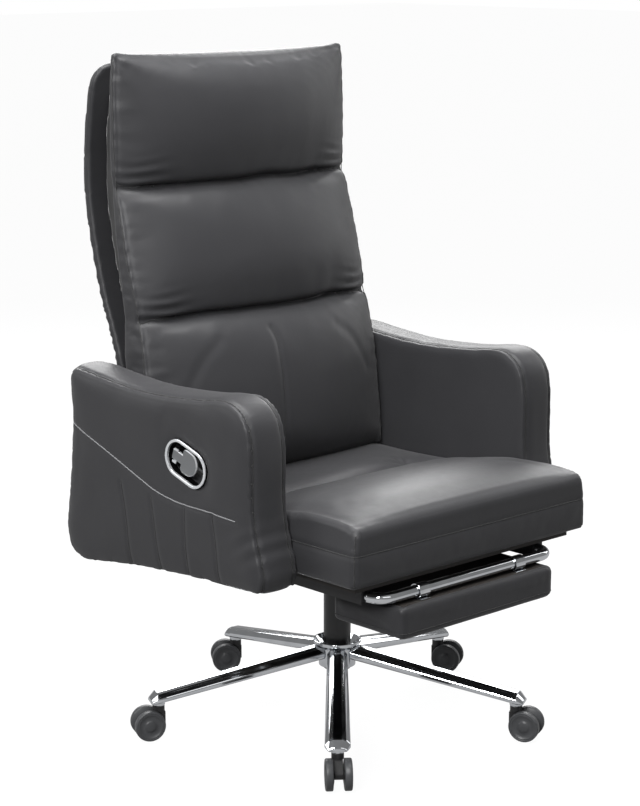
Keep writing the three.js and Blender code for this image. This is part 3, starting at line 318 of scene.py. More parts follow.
FLOOR_PATCHES = 2.0
FLOOR_SHADES = ("#3e3e3f", "#39393a")
FLOOR_SEEN_GLOW = 0.955
FLOOR_MIRRORED_GLOW = 0.42
DOME_HEIGHTS = (-0.05, 0.5)
DOME_LIGHT = (0.05, 0.24)
DOME_MIRRORED_LIGHT = 0.3

# Camera of the photograph, measured from the column's axis on the floor
CAMERA_PLACE = Vector((-2.679, -2.823, 1.427))
CAMERA_AZIMUTH = math.radians(-43.034)
CAMERA_DROP = math.radians(12.045)
LENS_MM = 98.49
SENSOR_MM = 36
CAMERA_REACH = 100


# Small tools


def colour(code):
    """The linear colour of an sRGB code such as "#3c3c3e"."""
    shares = [int(code[i : i + 2], 16) / 255 for i in (1, 3, 5)]
    linear = [s / 12.92 if s <= 0.04045 else ((s + 0.055) / 1.055) ** 2.4 for s in shares]
    return (*linear, 1)


def smooth_step(low, high, value):
    """0 below low, 1 above high, and an even curve between them."""
    t = np.clip((value - low) / (high - low), 0, 1)
    return t * t * (3 - 2 * t)


def bell(value, width):
    """1 at zero, falling away evenly over the width."""
    return np.exp(-((value / width) ** 2))


def rough(points, sizes, seed=0.0):
    """Smooth noise at each point, between -1 and 1, with its own size along each axis."""
    scaled = points / np.array(sizes) + seed
    return np.array([noise.noise(Vector(p)) for p in scaled])


def points_of(obj):
    """The places of a piece's points."""
    flat = np.empty(len(obj.data.vertices) * 3)
    obj.data.vertices.foreach_get("co", flat)
    return flat.reshape(-1, 3)


def normals_of(obj):
    """The direction out of the piece at each of its points."""
    flat = np.empty(len(obj.data.vertices) * 3, np.float32)
    obj.data.vertex_normals.foreach_get("vector", flat)
    return flat.reshape(-1, 3).astype(float)


def place_points(obj, points):
    """Moves the piece's points to these places."""
    obj.data.vertices.foreach_set("co", points.astype(np.float32).ravel())
    obj.data.update()


def add_object(name, mesh):
    obj = bpy.data.objects.new(name, mesh)
    bpy.context.collection.objects.link(obj)
    return obj


def apply_modifiers(obj):
    """Keeps the shape that the modifiers make, and drops them."""
    graph = bpy.context.evaluated_depsgraph_get()
    made = bpy.data.meshes.new_from_object(obj.evaluated_get(graph))
    obj.modifiers.clear()
    obj.data = made
    return obj


def shade_smooth(obj):
    obj.data.shade_smooth()
    return obj


def finish_piece(obj, material, body):
    """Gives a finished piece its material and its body."""
    obj.data.materials.clear()
    obj.data.materials.append(material)
    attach(obj, body)
    return obj


# Materials


def add_node(tree, kind, settings=None, **sockets):
    """A shader node whose sockets are set to a value or joined to another node's output."""
    made = tree.nodes.new(kind)
    for name, value in (settings or {}).items():
        setattr(made, name, value)
    for name, value in sockets.items():
        socket = made.inputs[name.replace("_", " ")]
        if isinstance(value, bpy.types.NodeSocket):
            tree.links.new(value, socket)
        else:
            socket.default_value = value
    return made


def new_material(name, **skin_values):
    """A material, its node tree, its main shader and the object-space place of each point."""
    material = bpy.data.materials.new(name)
    material.use_nodes = True
    tree = material.node_tree
    skin = tree.nodes["Principled BSDF"]
    for key, value in skin_values.items():
        skin.inputs[key.replace("_", " ")].default_value = value
    place = tree.nodes.new("ShaderNodeTexCoord").outputs["Object"]
    return material, tree, skin, place


def noise_at(tree, place, size, detail=3.0):
    """Noise whose blobs are about this many metres across."""
    made = add_node(tree, "ShaderNodeTexNoise", Vector=place, Scale=1 / size, Detail=detail)
    return made.outputs["Fac"]


def stretched(tree, place, scale):
    """The place of each point, scaled along each axis."""
    made = add_node(tree, "ShaderNodeMapping", Vector=place, Scale=scale)
    return made.outputs["Vector"]


def between(tree, factor, low, high):
    """A number from low to high as the factor goes from 0 to 1."""
    made = add_node(tree, "ShaderNodeMapRange", Value=factor)
    made.inputs["To Min"].default_value = low
    made.inputs["To Max"].default_value = high
    return made.outputs["Result"]


def share_between(tree, value, start, end):
    """0 where the value is at the start or before it, and 1 at the end or beyond."""
    made = add_node(tree, "ShaderNodeMapRange", Value=value)
    made.inputs["From Min"].default_value = start
    made.inputs["From Max"].default_value = end
    return made.outputs["Result"]


def colours_between(tree, factor, first, second):
    """A colour from the first to the second as the factor goes from 0 to 1."""
    made = add_node(tree, "ShaderNodeMix", {"data_type": "RGBA"})
    colour_inputs = [s for s in made.inputs if s.type == "RGBA"]
    tree.links.new(factor, made.inputs["Factor"])
    colour_inputs[0].default_value = colour(first)
    colour_inputs[1].default_value = colour(second)
    return [s for s in made.outputs if s.type == "RGBA"][0]


def greater(tree, first, second):
    """The greater of two numbers."""
    made = add_node(tree, "ShaderNodeMath", {"operation": "MAXIMUM"})
    tree.links.new(first, made.inputs[0])
    tree.links.new(second, made.inputs[1])
    return made.outputs["Value"]


def bump(tree, height, depth, under=None):
    """A bump of this many metres, on top of another one if given."""
    made = add_node(tree, "ShaderNodeBump", Height=height, Distance=depth)
    if under is not None:
        tree.links.new(under, made.inputs["Normal"])
    return made.outputs["Normal"]


def dress(tree, skin, **sources):
    """Joins sockets of the main shader to the outputs that set them."""
    for name, source in sources.items():
        tree.links.new(source, skin.inputs[name.replace("_", " ")])


def leather(name, light, dark, roughness):
    """Bonded leather: pebbled grain about a millimetre across, faint creases and uneven polish."""
    material, tree, skin, place = new_material(name, Specular_IOR_Level=0.26, Sheen_Weight=0.06)
    grain = add_node(tree, "ShaderNodeTexVoronoi", {"feature": "SMOOTH_F1"}, Vector=place)
    grain.inputs["Scale"].default_value = 1 / (1.1 * MM)
    grain.inputs["Smoothness"].default_value = 0.4
    fine = noise_at(tree, place, size=0.5 * MM)
    soft = noise_at(tree, place, size=14 * MM, detail=3.0)
    wide = noise_at(tree, place, size=90 * MM)
    relief = bump(tree, grain.outputs["Distance"], depth=0.09 * MM)
    relief = bump(tree, fine, depth=0.03 * MM, under=relief)
    relief = bump(tree, soft, depth=0.14 * MM, under=relief)
    shade = colours_between(tree, wide, light, dark)
    polish = between(tree, soft, roughness - 0.04, roughness + 0.06)
    dress(tree, skin, Normal=relief, Base_Color=shade, Roughness=polish)
    return material


def sewing_thread(name, light, dark):
    """Twisted polyester thread and the cord of the piping."""
    material, tree, skin, place = new_material(name, Roughness=0.6, Sheen_Weight=0.15)
    twist = add_node(tree, "ShaderNodeTexWave", Vector=place, Scale=1 / (5 * MM), Distortion=2.0)
    shade = colours_between(tree, noise_at(tree, place, size=3 * MM), light, dark)
    dress(tree, skin, Normal=bump(tree, twist.outputs["Fac"], depth=0.12 * MM), Base_Color=shade)
    return material


def chrome_plate(name, light, dark, roughness):
    """Bright chrome plating: a mirror with faint waviness and fine wipe marks."""
    material, tree, skin, place = new_material(name, Metallic=1.0)
    wave = noise_at(tree, place, size=26 * MM, detail=1.0)
    marks = noise_at(tree, stretched(tree, place, scale=(1, 1, 9)), size=4 * MM)
    relief = bump(tree, marks, depth=0.004 * MM, under=bump(tree, wave, depth=0.12 * MM))
    shade = colours_between(tree, wave, light, dark)
    polish = between(tree, marks, roughness * 0.7, roughness * 1.6)
    dress(tree, skin, Normal=relief, Base_Color=shade, Roughness=polish)
    return material


def moulded_nylon(name, light, dark, roughness):
    """Glass-filled nylon: fine spark-eroded texture and slightly uneven gloss."""
    material, tree, skin, place = new_material(name, Specular_IOR_Level=0.4)
    pits = noise_at(tree, place, size=0.6 * MM, detail=2.0)
    patches = noise_at(tree, place, size=14 * MM)
    shade = colours_between(tree, patches, light, dark)
    polish = between(tree, patches, roughness - 0.07, roughness + 0.07)
    dress(tree, skin, Normal=bump(tree, pits, depth=0.05 * MM), Base_Color=shade, Roughness=polish)
    return material


def powder_coat(name, light, dark, roughness):
    """Black powder coat on steel: a soft orange-peel skin."""
    material, tree, skin, place = new_material(name, Specular_IOR_Level=0.5, Coat_Weight=0.15)
    peel = noise_at(tree, place, size=1.4 * MM, detail=1.0)
    patches = noise_at(tree, place, size=30 * MM)
    shade = colours_between(tree, patches, light, dark)
    polish = between(tree, patches, roughness - 0.06, roughness + 0.06)
    dress(tree, skin, Normal=bump(tree, peel, depth=0.06 * MM), Base_Color=shade, Roughness=polish)
    return material


def stained_plywood(name):
    """Black-stained plywood: long grain bands with darker pores."""
    material, tree, skin, place = new_material(name, Roughness=0.65)
    rings = stretched(tree, place, scale=(1, 0.08, 1))
    bands = noise_at(tree, rings, size=9 * MM, detail=6.0)
    pores = noise_at(tree, rings, size=1.6 * MM, detail=2.0)
    shade = colours_between(tree, bands, "#2f2a26", "#1e1b19")
    dress(tree, skin, Normal=bump(tree, pores, depth=0.12 * MM), Base_Color=shade)
    return material


def lining_cloth(name):
    """Black non-woven lining with a dotted bond pattern."""
    material, tree, skin, place = new_material(name, Roughness=0.85, Sheen_Weight=0.3)
    dots = add_node(tree, "ShaderNodeTexVoronoi", {"feature": "F1"}, Vector=place, Scale=1 / (1.6 * MM))
    shade = colours_between(tree, noise_at(tree, place, size=50 * MM), "#1b1b1c", "#101011")
    dress(tree, skin, Normal=bump(tree, dots.outputs["Distance"], depth=0.2 * MM), Base_Color=shade)
    return material


def handle_metal(name):
    """The flap of the recline handle: satin grey on its face, and a painted highlight on its edges."""
    material, tree, skin, place = new_material(name)
    normal = tree.nodes.new("ShaderNodeTexCoord").outputs["Normal"]
    facing = add_node(tree, "ShaderNodeSeparateXYZ", Vector=normal).outputs["X"]
    # Painted highlight: the bevels and sides, turned away from the flat face, get a pale, less metallic
    # colour so that the edges look bright.
    edge = share_between(tree, facing, -0.97, -0.8)
    grain = noise_at(tree, stretched(tree, place, scale=(1, 1, 14)), size=2.5 * MM)
    shade = colours_between(tree, edge, "#8a8c8e", "#eceef0")
    polish, metal = between(tree, edge, 0.42, 0.12), between(tree, edge, 0.9, 0.45)
    relief = bump(tree, grain, depth=0.01 * MM)
    dress(tree, skin, Normal=relief, Base_Color=shade, Roughness=polish, Metallic=metal)
    return material


def bezel_metal(name, rim_x):
    """The handle's bezel: a plated rim in front of rim_x, and a glossy black cup behind it. The rim is pale
    and only partly metallic, which adds a painted highlight.
    """
    material, tree, skin, place = new_material(name)
    depth = add_node(tree, "ShaderNodeSeparateXYZ", Vector=place).outputs["X"]
    cup = share_between(tree, depth, rim_x, rim_x + 0.6 * MM)
    smudges = noise_at(tree, place, size=7 * MM)
    # The rim is plating with a painted highlight on it: its pale colour at 0.6 metallic has a diffuse part
    # that shows bright whatever it reflects.
    shade = colours_between(tree, cup, "#d8dadd", "#0b0b0c")
    polish, metal = between(tree, smudges, 0.08, 0.2), between(tree, cup, 0.6, 0.0)
    relief = bump(tree, smudges, depth=0.02 * MM)
    dress(tree, skin, Normal=relief, Base_Color=shade, Roughness=polish, Metallic=metal)
    return material


# Soft covers


def cover_from(node, name, cell):
    """A cover that starts as the frame's own cushion, cut into even small faces as long as the cell."""
    obj = add_object(name, frame["nodes"][node].data.copy())
    cells = obj.modifiers.new("cells", "REMESH")
    cells.mode = "VOXEL"
    cells.voxel_size = cell
    return apply_modifiers(obj)


def swell(obj, sewn, pressure, cap, growth):
    """Puffs the cover up as cloth. It stays where sewn is 1, and no point moves further than the cap."""
    rest = points_of(obj)
    group = obj.vertex_groups.new(name="sewn")
    for level in range(1, SEWN_LEVELS + 1):
        members = np.nonzero(np.round(sewn * SEWN_LEVELS) == level)[0]
        group.add([int(i) for i in members], level / SEWN_LEVELS, "REPLACE")
    cloth = obj.modifiers.new("swell", "CLOTH")
    cloth.collision_settings.use_collision = False
    settings = cloth.settings
    settings.quality = CLOTH_QUALITY
    settings.mass = CLOTH_MASS
    settings.tension_stiffness = CLOTH_STIFFNESS
    settings.compression_stiffness = CLOTH_STIFFNESS
    settings.bending_stiffness = CLOTH_BENDING
    settings.use_pressure = True
    settings.uniform_pressure_force = pressure
    settings.shrink_min = -growth
    settings.vertex_group_mass = "sewn"
    settings.effector_weights.gravity = 0
    cloth.point_cache.frame_end = SWELL_FRAMES
    for step in range(1, SWELL_FRAMES + 1):
        bpy.context.scene.frame_set(step)
    apply_modifiers(obj)
    moved = (points_of(obj) - rest) * (1 - smooth_step(SEWN_FREE_SHARE, 1, sewn))[:, None]
    far = np.linalg.norm(moved, axis=1, keepdims=True)
    place_points(obj, rest + moved * np.minimum(1, cap / np.maximum(far, 1e-9)))
    obj.vertex_groups.clear()
    bpy.context.scene.frame_set(1)
    return obj


def refine(obj):
    """Splits every face in four and rounds the cover."""
    finer = obj.modifiers.new("finer", "SUBSURF")
    finer.levels = finer.render_levels = 1
    return apply_modifiers(obj)


def evened(obj, moves, rounds):
    """Each point's move averaged with its neighbours' moves this many times."""
    ends = np.empty(len(obj.data.edges) * 2, np.int32)
    obj.data.edges.foreach_get("vertices", ends)
    first, second = ends.reshape(-1, 2).T
    count = len(moves)
    shared = np.maximum(np.bincount(first, minlength=count) + np.bincount(second, minlength=count), 1)
    for _ in range(rounds):
        around = [
            np.bincount(first, moves[second, axis], count) + np.bincount(second, moves[first, axis], count)
            for axis in range(3)
        ]
        moves = 0.5 * moves + 0.5 * np.stack(around, axis=1) / shared[:, None]
    return moves


def fill_out(obj, node, rounds):
    """Moves the cover out to the frame's cushion where it has drawn in, once for each number of evenings."""
    surface = surface_of(frame["nodes"][node])
    for passes in rounds:
        points = points_of(obj)
        moves = np.zeros_like(points)
        for i, p in enumerate(points):
            place, normal, _, _ = surface.find_nearest(p)
            if (Vector(p) - place).dot(normal) < 0:
                moves[i] = np.array(place) - p
        place_points(obj, points + evened(obj, moves, passes))


def ease(obj, amounts, rounds):
    """Evens the cover out, fully where the amount is 1 and not at all where it is 0."""
    points = points_of(obj)
    place_points(obj, points + (evened(obj, points, rounds) - points) * amounts[:, None])


def rounded_place(surface, point, radius):
    """The nearest point of a surface whose edges are rounded by the radius, and the way out there."""
    core = point
    for _ in range(EDGE_TRIES):
        place, normal, _, _ = surface.find_nearest(core)
        depth = (place - core).dot(normal)
        if depth >= radius - EDGE_CLOSE:
            break
        core = core - normal * (radius - depth)
    out = point - core
    if out.length < EDGE_TINY:
        place, normal, _, _ = surface.find_nearest(point)
        return place, normal
    out.normalize()
    return core + out * radius, out


def fit_cover(obj, node, radii):
    """Lays the cover on the frame's cushion with rounded edges, and keeps its swelling as an even height."""
    surface = surface_of(frame["nodes"][node])
    points = points_of(obj)
    places, outs = np.empty_like(points), np.empty_like(points)
    for i, (p, radius) in enumerate(zip(points, radii)):
        places[i], outs[i] = rounded_place(surface, Vector(p), radius)
    heights = np.maximum(((points - places) * outs).sum(axis=1), 0)
    heights = evened(obj, np.repeat(heights[:, None], 3, axis=1), HEIGHT_ROUNDS)
    place_points(obj, places + outs * heights)


def along_normals(obj, amounts):
    """Moves each point of the cover out along its own normal."""
    place_points(obj, points_of(obj) + normals_of(obj) * amounts[:, None])


def smooth_path(knots, step=SEAM_STEP):
    """Evenly spaced points along a smooth curve through the knots."""
    knots = [Vector(k) for k in knots]
    ends = [2 * knots[0] - knots[1], *knots, 2 * knots[-1] - knots[-2]]
    fine = []
    for a, b, c, d in zip(ends, ends[1:], ends[2:], ends[3:]):
        for i in range(CURVE_PARTS):
            t = i / CURVE_PARTS
            square, cube = 2 * a - 5 * b + 4 * c - d, 3 * b - a - 3 * c + d
            fine.append(0.5 * (2 * b + (c - a) * t + square * t**2 + cube * t**3))
    fine.append(knots[-1])
    path, left = [fine[0]], step
    for p, q in zip(fine, fine[1:]):
        span = (q - p).length
        at = left
        while at <= span and span > 0:
            path.append(p.lerp(q, at / span))
            at += step
        left = at - span
    return path


def on_cover(surface, paths):
    """The paths laid on a cover, without the normals."""
    return [[place for place, _ in on_surface(surface, path)] for path in paths]


def across(low, high):
    """The middle of a box across the chair, and half its width."""
    return (low[0] + high[0]) / 2, (high[0] - low[0]) / 2


def surface_of(obj):
    """A piece's faces, for finding the nearest place on them."""
    mesh = obj.data
    return BVHTree.FromPolygons([v.co for v in mesh.vertices], [p.vertices for p in mesh.polygons])


def on_surface(surface, path, lift=0.0):
    """The path laid on the cover, with the cover's normal at each point."""
    laid = []
    for p in path:
        place, normal, _, _ = surface.find_nearest(p)
        laid.append((place + normal * lift, normal))
    return laid


def press_seam(obj, path, width, depth):
    """Draws the cover in along a seam."""
    tree = KDTree(len(path))
    for i, p in enumerate(path):
        tree.insert(p, i)
    tree.balance()
    away = np.array([tree.find(v.co)[2] for v in obj.data.vertices])
    along_normals(obj, -depth * bell(away, width))


def tube_rings(laid, radius, sides):
    """Rings of a thin tube along points on a surface."""
    rings = []
    for i, (p, normal) in enumerate(laid):
        before = laid[max(i - 1, 0)][0]
        after = laid[min(i + 1, len(laid) - 1)][0]
        along = (after - before).normalized()
        out = (normal - along * normal.dot(along)).normalized()
        side = along.cross(out)
        turns = [2 * math.pi * k / sides for k in range(sides)]
        rings.append([p + (out * math.cos(a) + side * math.sin(a)) * radius for a in turns])
    return rings


def mesh_of_tubes(name, tubes, sides):
    """One mesh from several tubes, each a list of rings, closed at both ends."""
    points, faces = [], []
    for rings in tubes:
        start = len(points)
        points += [p for ring in rings for p in ring]
        for r in range(len(rings) - 1):
            for k in range(sides):
                a = start + r * sides + k
                b = start + r * sides + (k + 1) % sides
                faces.append((a, b, b + sides, a + sides))
        faces.append(tuple(start + k for k in reversed(range(sides))))
        last = start + (len(rings) - 1) * sides
        faces.append(tuple(last + k for k in range(sides)))
    mesh = bpy.data.meshes.new(name)
    mesh.from_pydata(points, [], faces)
    return mesh


def piping(name, cover, paths, material, body, radius):
    """Cords sewn along a cover's seams."""
    surface = surface_of(cover)
    tubes = [tube_rings(on_surface(surface, path), radius, CORD_SIDES) for path in paths]
    obj = add_object(name, mesh_of_tubes(name, tubes, CORD_SIDES))
    return finish_piece(shade_smooth(obj), material, body)


def stitching(name, cover, paths, material, body):
    """Single stitches lying along paths on a cover."""
    surface = surface_of(cover)
    width = THREAD_RADIUS * 2
    part = int(STITCH_LENGTH / width) // STITCH_PARTS
    gap = max(int(STITCH_GAP / width) // part, 1)
    tubes = []
    for path in paths:
        laid = on_surface(surface, smooth_path(path, width)[::part], THREAD_RADIUS * THREAD_LIFT_SHARE)
        for start in range(0, len(laid) - STITCH_PARTS, STITCH_PARTS + gap):
            tubes.append(tube_rings(laid[start : start + STITCH_PARTS + 1], THREAD_RADIUS, THREAD_SIDES))
    obj = add_object(name, mesh_of_tubes(name, tubes, THREAD_SIDES))
    return finish_piece(shade_smooth(obj), material, body)


# Back cushion


def front_seam_y(levels):
    """The front seam's Y at each height of the back cushion, read off the frame's cushion."""
    low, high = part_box("back_cushion")
    vertices = frame["nodes"]["back_cushion"].data.vertices
    edge = [(v.co.z, v.co.y) for v in vertices if v.co.x > high[0] - BACK_EDGE_REACH]
    knots = np.linspace(low[2], high[2], BACK_EDGE_LEVELS)
    fronts = np.array(
        [min((y for z, y in edge if abs(z - knot) < BACK_EDGE_REACH), default=np.nan) for knot in knots]
    )
    known = ~np.isnan(fronts)
    return np.interp(levels, knots[known], fronts[known])


def crease(points, facing, share, low, high, seed):
    """Presses one sewn channel into the back: a deep fold with the puff above it hanging over."""
    middle, half = across(low, high)
    s = (points[:, 0] - middle) / half
    wander = CREASE_WANDER * rough(points, (CREASE_WANDER_SIZE, 1, 1), seed)
    level = low[2] + share * (high[2] - low[2]) + wander
    inner = 1 - smooth_step(*CREASE_FADE_SHARES, np.abs(s))
    rise = points[:, 2] - level - OVERHANG * inner
    deep = CREASE_END_DEPTH_SHARE + (1 - CREASE_END_DEPTH_SHARE) * inner
    fold = bell(rise, np.where(rise > 0, CREASE_ABOVE, CREASE_BELOW)) * deep
    belly = np.exp(-np.abs(rise) / np.where(rise > 0, BELLY_ABOVE, BELLY_BELOW)) * deep
    hang = bell(rise - CREASE_ABOVE, OVERHANG_REACH) * inner
    near = np.exp(-np.abs(rise) / PUCKER_REACH) * (1 - smooth_step(*PUCKER_FADE_SHARES, np.abs(s)))
    gathers = rough(points, PUCKER_SIZES, seed + PUCKER_SEED)
    ends = bell(np.abs(s) - PLEAT_PLACE_SHARE, PLEAT_WIDTH_SHARE) * bell(rise - PLEAT_RISE, PLEAT_REACH)
    pleats = np.cos(2 * math.pi * rise / PLEAT_SPACING) * ends
    drawn_in = CREASE_DEPTH * fold + BELLY_DEPTH * belly
    points[:, 1] += facing * (drawn_in + PUCKER_DEPTH * gathers * near + PLEAT_DEPTH * pleats)
    points[:, 2] -= facing * OVERHANG * hang
    return points


def corner_ears(points, low, high):
    """Pulls the two top corners up and lets the top edge dip between them."""
    middle, half = across(low, high)
    s = np.abs(points[:, 0] - middle) / half
    near_top = smooth_step(high[2] - EAR_FALL, high[2], points[:, 2])
    points[:, 2] += near_top * (EAR_HEIGHT * smooth_step(*EAR_SHARES, s) - TOP_DIP * (1 - s**2))
    reach = np.hypot((1 - s) * half, high[2] - points[:, 2])
    turn = np.arctan2(high[2] - points[:, 2], (1 - s) * half + MM)
    fade = np.exp(-reach / CORNER_PLEAT_REACH) * smooth_step(0, CORNER_PLEAT_START, reach)
    points[:, 1] += CORNER_PLEAT * np.cos(turn * CORNER_PLEAT_TURNS) * fade
    return points


def back_seam_paths(low, high):
    """The sewn line down the middle of the lower section, and a short fold curving out on each side of it."""
    middle, _ = across(low, high)
    foot, head = low[2], low[2] + CHANNEL_SHARES[0] * (high[2] - low[2])
    front = low[1]
    levels = np.linspace(head - BACK_SEAM_TOP, foot + BACK_SEAM_FOOT, BACK_SEAM_KNOTS)
    centre = [(middle + BACK_SEAM_X, front, z) for z in levels]
    centre[0] = (middle + BACK_SEAM_X - BACK_SEAM_HOOK, front, levels[0])
    folds = []
    for side in (-1, 1):
        outs = [BACK_FOLD_START + BACK_FOLD_SPREAD * share**BACK_FOLD_BEND for share in BACK_FOLD_SHARES]
        drops = [BACK_FOLD_TOP + BACK_FOLD_DROP * share for share in BACK_FOLD_SHARES]
        folds.append([(middle + side * out, front, head - drop) for out, drop in zip(outs, drops)])
    return smooth_path(centre), [smooth_path(path) for path in folds]


def channel_end_paths(low, high):
    """The short sewn lines that run on from each end of a channel to the side of the back cushion."""
    middle, half = across(low, high)
    paths = []
    for share in CHANNEL_SHARES:
        level = low[2] + share * (high[2] - low[2])
        front = float(front_seam_y(np.array([level]))[0])
        for side in (-1, 1):
            paths.append([(middle + side * s * half, front, level) for s in CHANNEL_END_SHARES])
    return [smooth_path(path) for path in paths]


def back_edge_paths(low, high):
    """The seam between the front of the back cushion and its boxing, on each side."""
    levels = np.linspace(low[2] + BACK_CORD_FOOT, high[2] - BACK_CORD_TOP, BACK_CORD_KNOTS)
    fronts = front_seam_y(levels) + BACK_CORD_BACK
    return [smooth_path([(x, y, z) for y, z in zip(fronts, levels)]) for x in (low[0], high[0])]


def back_sewn(obj, low, high):
    """Where the back cushion is held while it swells: its rear, its channels and its front side edges."""
    points, normals = points_of(obj), normals_of(obj)
    middle, half = across(low, high)
    shares = (points[:, 2] - low[2]) / (high[2] - low[2])
    rear = smooth_step(*BACK_REAR, normals[:, 1])
    channels = sum(bell(shares - share, CHANNEL_HOLD_SHARE) for share in CHANNEL_SHARES)
    inner, outer = (half - width for width in BACK_EDGE_BAND)
    edge = bell(points[:, 1] - front_seam_y(points[:, 2]), BACK_EDGE_HOLD)
    return np.clip(rear + channels + edge * smooth_step(inner, outer, np.abs(points[:, 0] - middle)), 0, 1)


def press_back(obj, low, high):
    """Presses the two channels, the top corners and the gathers of the side seams into the back cushion."""
    points, normals = points_of(obj), normals_of(obj)
    facing = smooth_step(*BACK_FRONT, -normals[:, 1])
    for i, share in enumerate(CHANNEL_SHARES):
        points = crease(points, facing, share, low, high, CREASE_SEED * (i + 1))
    points = corner_ears(points, low, high)
    place_points(obj, points)
    middle, half = across(low, high)
    edge = np.abs(points[:, 0] - middle) / half
    gathers = rough(points, GATHER_SIZES, GATHER_SEED) * smooth_step(*GATHER_SHARES, edge)
    soft = rough(points, BACK_SOFT_SIZES, BACK_SOFT_SEED)
    free = 1 - smooth_step(*BACK_STILL_REAR, normals[:, 1])
    along_normals(obj, free * (GATHER_DEPTH * gathers + BACK_SOFT_DEPTH * soft))


def back_cushion(materials):
    """The puffed back: three sections between two sewn channels, boxed and gathered at its sides."""
    low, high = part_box("back_cushion")
    obj = cover_from("back_cushion", "cover_back", BACK_CELL)
    swell(obj, back_sewn(obj, low, high), **BACK_SWELL)
    refine(obj)
    fill_out(obj, "back_cushion", BACK_FILL_ROUNDS)
    ease(obj, smooth_step(*BACK_FLAT_FRONT, -normals_of(obj)[:, 1]), BACK_EASE_ROUNDS)
    press_back(obj, low, high)
    centre, folds = back_seam_paths(low, high)
    surface = surface_of(obj)
    laid_centre = on_cover(surface, [centre])
    press_seam(obj, laid_centre[0], *BACK_SEAM_PRESS)
    for path in on_cover(surface, folds):
        press_seam(obj, path, *BACK_FOLD_PRESS)
    ends = on_cover(surface, channel_end_paths(low, high))
    for path in ends:
        press_seam(obj, path, *CHANNEL_END_PRESS)
    finish_piece(shade_smooth(obj), materials["leather"], "back")
    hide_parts("back_cushion")
    cords = [*back_edge_paths(low, high), *ends]
    piping("back_edge_seams", obj, cords, materials["thread"], "back", EDGE_CORD)
    stitching("back_stitching", obj, laid_centre, materials["thread"], "back")


# Seat cushion


def seat_sewn(obj, seam_level, crease_y):
    """Where the seat is held while it swells: its underside, its crease and its front seam."""
    points, normals = points_of(obj), normals_of(obj)
    under = smooth_step(*SEAT_UNDER, -normals[:, 2])
    fold = bell(points[:, 1] - crease_y, SEAT_CREASE_HOLD) * smooth_step(*SEAT_HELD_TOP, normals[:, 2])
    boxing = bell(points[:, 2] - seam_level, SEAT_SEAM_HOLD)
    return np.clip(under + fold + boxing * SEAT_SEAM_HOLD_SHARE, 0, 1)


def ease_seat_top(obj, low, high):
    """Evens the seat's top away from its edges."""
    points, normals = points_of(obj), normals_of(obj)
    inside = np.minimum(np.minimum(points[:, 0] - low[0], high[0] - points[:, 0]), points[:, 1] - low[1])
    flat = smooth_step(*SEAT_FLAT_TOP, normals[:, 2])
    ease(obj, flat * smooth_step(*SEAT_EASE_BAND, inside), SEAT_EASE_ROUNDS)


def press_seat(obj, low, high, crease_y):
    """Presses the crease and its gathers into the seat's top, and lifts the two front corners."""
    points, normals = points_of(obj), normals_of(obj)
    middle, half = across(low, high)
    s = np.abs((points[:, 0] - middle) / half)
    top = smooth_step(*SEAT_TOP, normals[:, 2])
    wander = SEAT_CREASE_WANDER * rough(points, (SEAT_CREASE_WANDER_SIZE, 1, 1), SEAT_CREASE_SEED)
    fade = 1 - smooth_step(*SEAT_CREASE_FADE_SHARES, s)
    fold = bell(points[:, 1] - crease_y - wander, SEAT_CREASE_WIDTH) * fade
    near = np.exp(-np.abs(points[:, 1] - crease_y) / SEAT_GATHER_REACH)
    gathers = rough(points, SEAT_GATHER_SIZES, SEAT_GATHER_SEED)
    fan = tuft_fan(points, (middle + TUFT_PLACE[0], crease_y + TUFT_PLACE[1]))
    points[:, 2] -= top * (SEAT_CREASE_DEPTH * fold + SEAT_GATHER_DEPTH * gathers * near + fan)
    reach = np.hypot((1 - s) * half, points[:, 1] - low[1])
    points[:, 2] += top * SEAT_CORNER_EAR * np.exp(-reach / SEAT_EAR_REACH)
    place_points(obj, points)
    free = 1 - smooth_step(*SEAT_UNDER, -normals[:, 2])
    along_normals(obj, free * SEAT_SOFT_DEPTH * rough(points, SEAT_SOFT_SIZES, SEAT_SOFT_SEED))


def tuft_fan(points, place):
    """Short folds that run out from a pulled-down point of the seat."""
    dx, dy = points[:, 0] - place[0], points[:, 1] - place[1]
    reach = np.hypot(dx, dy)
    fade = np.exp(-reach / TUFT_FOLD_REACH) * smooth_step(0, TUFT_FOLD_START, reach)
    folds = TUFT_FOLD_DEPTH * np.cos(np.arctan2(dy, dx) * TUFT_FOLD_TURNS) * fade
    return folds + TUFT_DEPTH * bell(reach, TUFT_WIDTH)


def seat_seam_paths(low, high, level):
    """The seam round the front and sides of the seat, and the short upright seams at its front corners."""
    left, right, front = low[0] + SEAT_SEAM_INSET, high[0] - SEAT_SEAM_INSET, low[1] + SEAT_SEAM_INSET
    rear, turn = high[1] - SEAT_SEAM_REAR, SEAT_SEAM_CORNER
    half_side = [(left, rear), (left, (front + rear) / 2), (left, front + turn), (left + turn, front)]
    other_side = [(left + right - x, y) for x, y in reversed(half_side)]
    round_front = [(x, y, level) for x, y in [*half_side, ((left + right) / 2, front), *other_side]]
    top = low[2] + SEAT_CORNER_SEAM_SHARE * (high[2] - low[2])
    levels = np.linspace(low[2] + SEAT_CORNER_SEAM_FOOT, top, SEAT_CORNER_SEAM_KNOTS)
    corners = [[(x, front, z) for z in levels] for x in (left, right)]
    return [smooth_path(path) for path in (round_front, *corners)]


